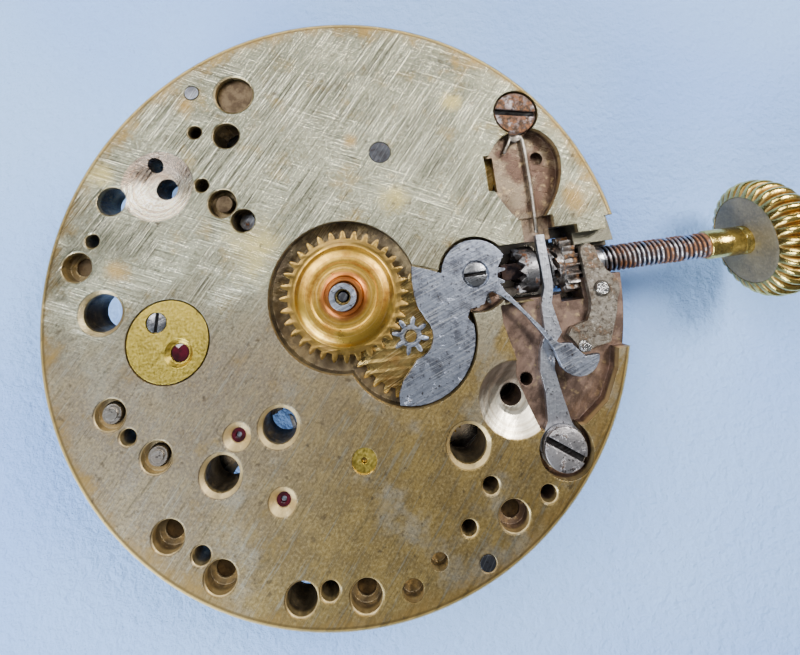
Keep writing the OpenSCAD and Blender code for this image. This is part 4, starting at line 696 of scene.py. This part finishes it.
def make_minute_wheel(brass, steel):
    """Wheel and pinion on one post; a tooth of the wheel and a gap of the pinion face the centre."""
    bore, wheel_low, wheel_high, pinion_high = 0.3, -1.1, -0.85, -0.38
    leaves = 8
    to_centre = MINUTE_DIR + 180
    wheel = Shape()
    outline = motion_teeth(30, to_centre, MINUTE_AT)
    wheel.cut([outline, circle(bore, MINUTE_AT)], wheel_low, wheel_high, bevel=0.025)
    wheel.piece("minute_wheel_dressed", "minute_wheel", brass, instead=["minute_wheel"])
    pinion = Shape()
    outline = motion_teeth(leaves, to_centre + 180 / leaves, MINUTE_AT, width=0.5)
    pinion.cut([outline, circle(bore, MINUTE_AT)], wheel_high, pinion_high, bevel=0.035)
    pinion.piece("minute_pinion_dressed", "minute_wheel", steel, instead=["minute_pinion"])


# Pieces along the stem
def thread_radius(r, x, a):
    """Radius of the stem's surface: a rounded thread between its start and its end."""
    depth, runout = 0.15, 0.06
    if not THREAD_START < x < STEM_END - runout:
        return r
    phase = (x / THREAD_PITCH - a / (2 * math.pi)) % 1
    share = 1 - abs(2 * phase - 1)
    return r - depth * share * share * (3 - 2 * share)


def make_stem(look):
    """Pivot, square, collar with the lever's groove, thread, and the end inside the crown."""
    s = Shape()
    s.turned([(0.22, 7.0), (0.3, 7.1), (0.3, 8.45)], along_stem(0), steps=32)
    half, square_start, collar_start = 0.42, 8.4, 11.22
    square = [(-half, -half), (half, -half), (half, half), (-half, half)]
    s.cut([square], square_start, collar_start, along_stem(0), bevel=0.05)
    collar = [(0.6, collar_start), (0.6, 12.53)]
    groove = [(0.42, 12.56), (0.42, 13.14), (0.68, 13.15), (STEM_R, 13.2), (STEM_R, THREAD_START)]
    step = THREAD_PITCH / 10
    rows = round((STEM_END - THREAD_START) / step)
    thread = [(STEM_R, THREAD_START + step * i) for i in range(1, rows)]
    end = [(STEM_R, STEM_END), (0.45, STEM_END), (0.45, CROWN_X + 1.0)]
    s.turned(collar + groove + thread + end, along_stem(0), 40, thread_radius)
    s.piece("stem_dressed", "stem", look, instead=["stem"], sharp=60)


def ribbed_radius(r, x, a):
    """Radius of the crown's surface: rounded ribs that fade out on both faces."""
    depth, near_r, near_fade, far_x, far_fade = 0.3, 2.45, 0.3, CROWN_L - 0.02, 0.5
    fade = min(1, max(0, (r - near_r) / near_fade)) * min(1, max(0, (far_x - x) / far_fade))
    rib = abs(math.sin(CROWN_FLUTES * a / 2))
    return r - depth * fade * (1 - rib ** 0.7)


def make_crown(gold, grey):
    """Ribbed crown with its tube, and the flat face that looks towards the plate, a dark disc that paints
    the shade on the gold face.
    """
    s = Shape()
    face_r, face_depth = 2.42, 0.3
    near = [(face_r, face_depth), (face_r, 0.0), (2.53, 0.03), (2.7, 0.1), (2.88, 0.2), (3.06, 0.35)]
    widest = [(3.19, 0.55), (3.27, 0.8), (CROWN_R, 1.1), (3.28, 1.4), (3.22, 1.65), (3.11, 1.88)]
    far = [(2.93, 2.1), (2.64, 2.27), (2.2, 2.37), (1.2, CROWN_L), (0.02, CROWN_L)]
    s.turned(near + widest + far, along_stem(CROWN_X), CROWN_FLUTES * 12, ribbed_radius)
    tube_r, groove_r = 0.8, 0.76
    tube = [(0.45, 0.0), (0.74, 0.0), (tube_r, 0.06), (tube_r, 1.9), (groove_r, 1.95), (groove_r, 2.05),
            (tube_r, 2.1), (tube_r, 2.6)]
    s.turned(tube, along_stem(STEM_END), 48)
    s.piece("crown_dressed", "stem", gold, instead=["crown"], sharp=50)
    # The dark grey disc is painted shade over the gold inner face.
    disc = Shape()
    flat = [(0.78, 0.06), (tube_r, 0.02), (2.2, 0.0), (2.34, 0.01), (face_r, 0.05), (face_r, face_depth)]
    disc.turned(flat, along_stem(CROWN_X - 0.005), 96)
    disc.piece("crown_inner_face", "stem", grey)


def make_castle_pinion(look):
    """Sliding pinion: setting teeth towards the centre, a groove, and ratchet teeth towards the crown."""
    s = Shape()
    face, length = 9.25, 1.95
    radii = (0.82, 1.23)
    bore, neck, rim = 0.6, 0.85, 1.25
    inner = [(bore, 0.3), (1.17, 0.3), (1.22, 0.36), (rim, 0.55), (rim, 0.97), (1.22, 1.0)]
    groove = [(neck, 1.02), (neck, 1.63)]
    outer = [(1.22, 1.65), (rim, 1.68), (rim, 1.76), (1.22, 1.79), (bore, 1.79), (bore, 0.3)]
    s.turned(inner + groove + outer, along_stem(face), 56)
    add_face_teeth(s, 14, radii, along_stem(face), base=0.34, tip=0.0, share=0.92)
    add_face_teeth(s, 12, radii, along_stem(face), base=length - 0.18, tip=length, share=0.6, lean=0.8)
    s.piece("castle_pinion_dressed", "castle_pinion", look, instead=["castle_pinion"], sharp=30)


def make_winding_pinion(look):
    """Pinion with ratchet teeth towards the centre and a toothed rim towards the crown."""
    s = Shape()
    face, rim, end = 11.25, 11.7, 12.4
    bore, floor, hub_end = 0.63, 0.17, rim - face + 0.02
    hub = [(bore, floor), (1.07, floor), (1.1, 0.2), (1.1, hub_end), (bore, hub_end), (bore, floor)]
    s.turned(hub, along_stem(face), 48)
    radii = (0.68, 1.08)
    add_face_teeth(s, 12, radii, along_stem(face), base=0.18, tip=0.0, share=0.6, lean=-0.8, turn=15)
    outline = teeth(18, 1.18, 1.5, width=0.5)
    s.cut([outline, circle(bore)], rim - face, end - face, along_stem(face), bevel=0.03)
    s.piece("winding_pinion_dressed", "winding_pinion", look, instead=["winding_pinion"], sharp=30)


# Screws, spring and jewel on the dial side
def make_dial_screws(polished):
    """The four slotted screws, each with its own wear."""
    # Near-black material for the slot floors: painted shade.
    dirt_and_shade = steel_look("slot_painted_shade", (0.03, 0.03, 0.03), (0.012, 0.01, 0.01), brushed=0.1, roughness=0.7)
    old = steel_look("old_screw_head", (0.50, 0.48, 0.49), (0.30, 0.28, 0.28), brushed=0.2,
                     rust=0.3, roughness=0.34, rust_color=(0.16, 0.12, 0.10))
    red = steel_look("red_rust", (0.36, 0.31, 0.31), (0.14, 0.08, 0.06), brushed=0.2,
                     rust=0.75, roughness=0.4, rust_color=(0.27, 0.115, 0.05))
    make_screw("cover_screw", polished, dirt_and_shade,
               r=0.6, top=-0.02, thickness=0.36, angle=0, shank=0.5, end=-1.2)
    make_screw("yoke_screw", old, dirt_and_shade,
               r=1.05, top=-0.05, thickness=0.45, angle=-35, shank=0.5, end=-2.4, bevel=0.06)
    make_screw("spring_screw", red, dirt_and_shade,
               r=1.12, top=-0.05, thickness=0.46, angle=-10, shank=0.57, end=-2.3, bevel=0.06)
    make_screw("endpiece_screw", polished, dirt_and_shade,
               r=0.48, top=-0.05, thickness=0.25, angle=80, shank=0.28, end=-1.9)


def make_setting_spring(look):
    """Flat ring and tab under the screw, with a long and a short wire."""
    s = Shape()
    low, high, wire_r = -0.72, -0.52, 0.1
    tab = [(9.85, 7.75), (10.45, 7.75), (10.4, 7.0), (10.12, 6.86), (9.86, 7.02)]
    long_wire = [(10.35, 7.35), (10.53, 7.0), (10.56, 6.2), (10.54, 4.4), (10.46, 2.7), (10.42, 1.95)]
    short_wire = [(9.95, 7.3), (9.7, 6.8), (9.45, 6.4)]
    s.cut([circle(0.95, SPRING_SCREW_AT), circle(0.58, SPRING_SCREW_AT)], low, high)
    s.cut([tab], low, high)
    for route in (long_wire, short_wire):
        s.wire([(x, y, (low + high) / 2) for x, y in route], wire_r)
    s.piece("setting_spring_dressed", "movement", look, instead=["setting_spring"])


def make_cap_jewel(look):
    """Jewel with a flat back and a domed front."""
    s = Shape()
    dome = [(0.45, -0.55), (0.45, -0.3), (0.42, -0.24), (0.3, -0.21), (0.02, -0.2)]
    s.turned(dome, Matrix.Translation((*BALANCE_AT, 0)), 48)
    s.piece("cap_jewel_dressed", "movement", look, instead=["cap_jewel"])


# Looks of the solids that stay as they are
def dress(material, *nodes):
    """Gives solids a material, also those that come without a slot for one."""
    for name in nodes:
        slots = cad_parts[name].material_slots
        if not slots:
            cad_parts[name].data.materials.append(material)
        for slot in slots:
            slot.material = material


def dress_solids(looks):
    dress(PlateLook().material, "main_plate")
    dress(bridge_look(), "barrel_bridge", "train_bridge", "pallet_bridge", "balance_cock", "chrono_bridge")
    dress(bridge_screw_look(), "bridge_screws")
    dress(lever_look(), "setting_lever")
    dress(looks["ruby"], "plate_jewels")
    dress(looks["gilt"], "endpiece", "fourth_bush")
    dress(looks["stud steel"], "plate_screws")
    dress(looks["pin steel"], "plate_pins", "barrel_arbor", "seconds_runner", "minute_recorder")
    dress(looks["polished steel"], "lever_screws", "ratchet_screw", "crown_wheel_screw", "hairspring",
          "mainspring")
    dress(looks["light steel"], "yoke", "regulator", "lever_springs", "balance_staff")
    dress(looks["brass"], "minute_post", "barrel_drum", "barrel_cover", "centre_wheel", "third_wheel",
          "fourth_wheel", "driving_wheel", "coupling_wheel", "balance_wheel")
    dress(looks["steel"], "setting_cover", "setting_wheel", "ratchet_wheel", "crown_wheel", "click",
          "escape_wheel", "pallet_fork", "coupling_lever", "column_wheel", "operating_lever",
          "reset_hammer", "brake_lever", "cannon_pinion")


# Table, light and camera
FLOOR_Z, TABLE_SIZE = -6.2, 1200
CAMERA_AT = (1.883, 1.11, 25.706)
CAMERA_TURN = (10.6, -2.63, -7.518)
CAMERA_LENS, SENSOR_WIDTH = 22.5, 36
CAMERA_SHIFT = (-0.0025, -0.1906)
NEAREST, FARTHEST = 1, 2000


def make_table(look):
    """Sheet of paper that the movement lies on."""
    at = (0, 0, FLOOR_Z * MM)
    bpy.ops.mesh.primitive_grid_add(x_subdivisions=8, y_subdivisions=8, size=TABLE_SIZE * MM, location=at)
    table = bpy.context.object
    table.name = "table"
    table.data.materials.append(look)


def make_light(name, at, size, power, color, aim=(0, 0, 0)):
    """Soft square light that looks at aim."""
    light = bpy.data.lights.new(name, "AREA")
    light.size = size * MM
    light.energy = power
    light.color = color
    holder = bpy.data.objects.new(name, light)
    holder.location = Vector(at) * MM
    holder.rotation_euler = (Vector(aim) - Vector(at)).to_track_quat("-Z", "Y").to_euler()
    bpy.context.scene.collection.objects.link(holder)


def make_studio():
    """Pale sky and three soft lights."""
    world = bpy.data.worlds.new("studio")
    world.use_nodes = True
    sky = world.node_tree.nodes["Background"]
    sky.inputs["Color"].default_value = (0.92, 0.95, 1.0, 1)
    sky.inputs["Strength"].default_value = 0.17
    bpy.context.scene.world = world
    make_light("window", (-60, 70, 110), 90, 0.26, (1.0, 0.99, 0.97))
    make_light("lamp", (70, 40, 90), 40, 0.20, (1.0, 0.97, 0.93))
    make_light("back_fill", (-80, -80, 45), 60, 0.28, (0.80, 0.89, 1.0), aim=(-32, -24, FLOOR_Z))


def make_camera():
    """Camera where the photograph was taken from."""
    data = bpy.data.cameras.new("camera")
    data.lens = CAMERA_LENS
    data.sensor_width = SENSOR_WIDTH
    data.shift_x, data.shift_y = CAMERA_SHIFT
    data.clip_start, data.clip_end = NEAREST * MM, FARTHEST * MM
    camera = bpy.data.objects.new("camera", data)
    camera.location = Vector(CAMERA_AT) * MM
    camera.rotation_euler = Euler([math.radians(a) for a in CAMERA_TURN])
    bpy.context.scene.collection.objects.link(camera)
    bpy.context.scene.camera = camera


def make_movement():
    """Draws the pieces that replace solids, and dresses the other solids."""
    looks = make_shared_looks()
    # Dark olive grey of the crown's inner face: painted shade on gold.
    crown_face_shade = even_look("crown_face_painted_shade", (0.17, 0.14, 0.085), (0.12, 0.10, 0.065),
                           light=(0.28, 0.24, 0.15), dark=(0.07, 0.055, 0.035),
                           roughness=0.5, metallic=0.35)
    dark_steel = steel_look("dark_steel", (0.42, 0.41, 0.42), (0.10, 0.10, 0.105), brushed=0.4, rust=0.3)
    worn_steel = steel_look("worn_pinion_steel", (0.44, 0.42, 0.40), (0.12, 0.10, 0.09), brushed=0.2,
                            rust=0.5, rust_color=(0.34, 0.16, 0.06))
    make_hour_wheel(hour_look())
    make_minute_wheel(looks["brass"], looks["steel"])
    make_stem(stem_look())
    make_crown(crown_look(), crown_face_shade)
    make_castle_pinion(dark_steel)
    make_winding_pinion(worn_steel)
    make_dial_screws(looks["polished steel"])
    make_setting_spring(looks["stud steel"])
    make_cap_jewel(looks["ruby"])
    dress_solids(looks)


make_movement()
make_table(paper_look())
make_studio()
make_camera()
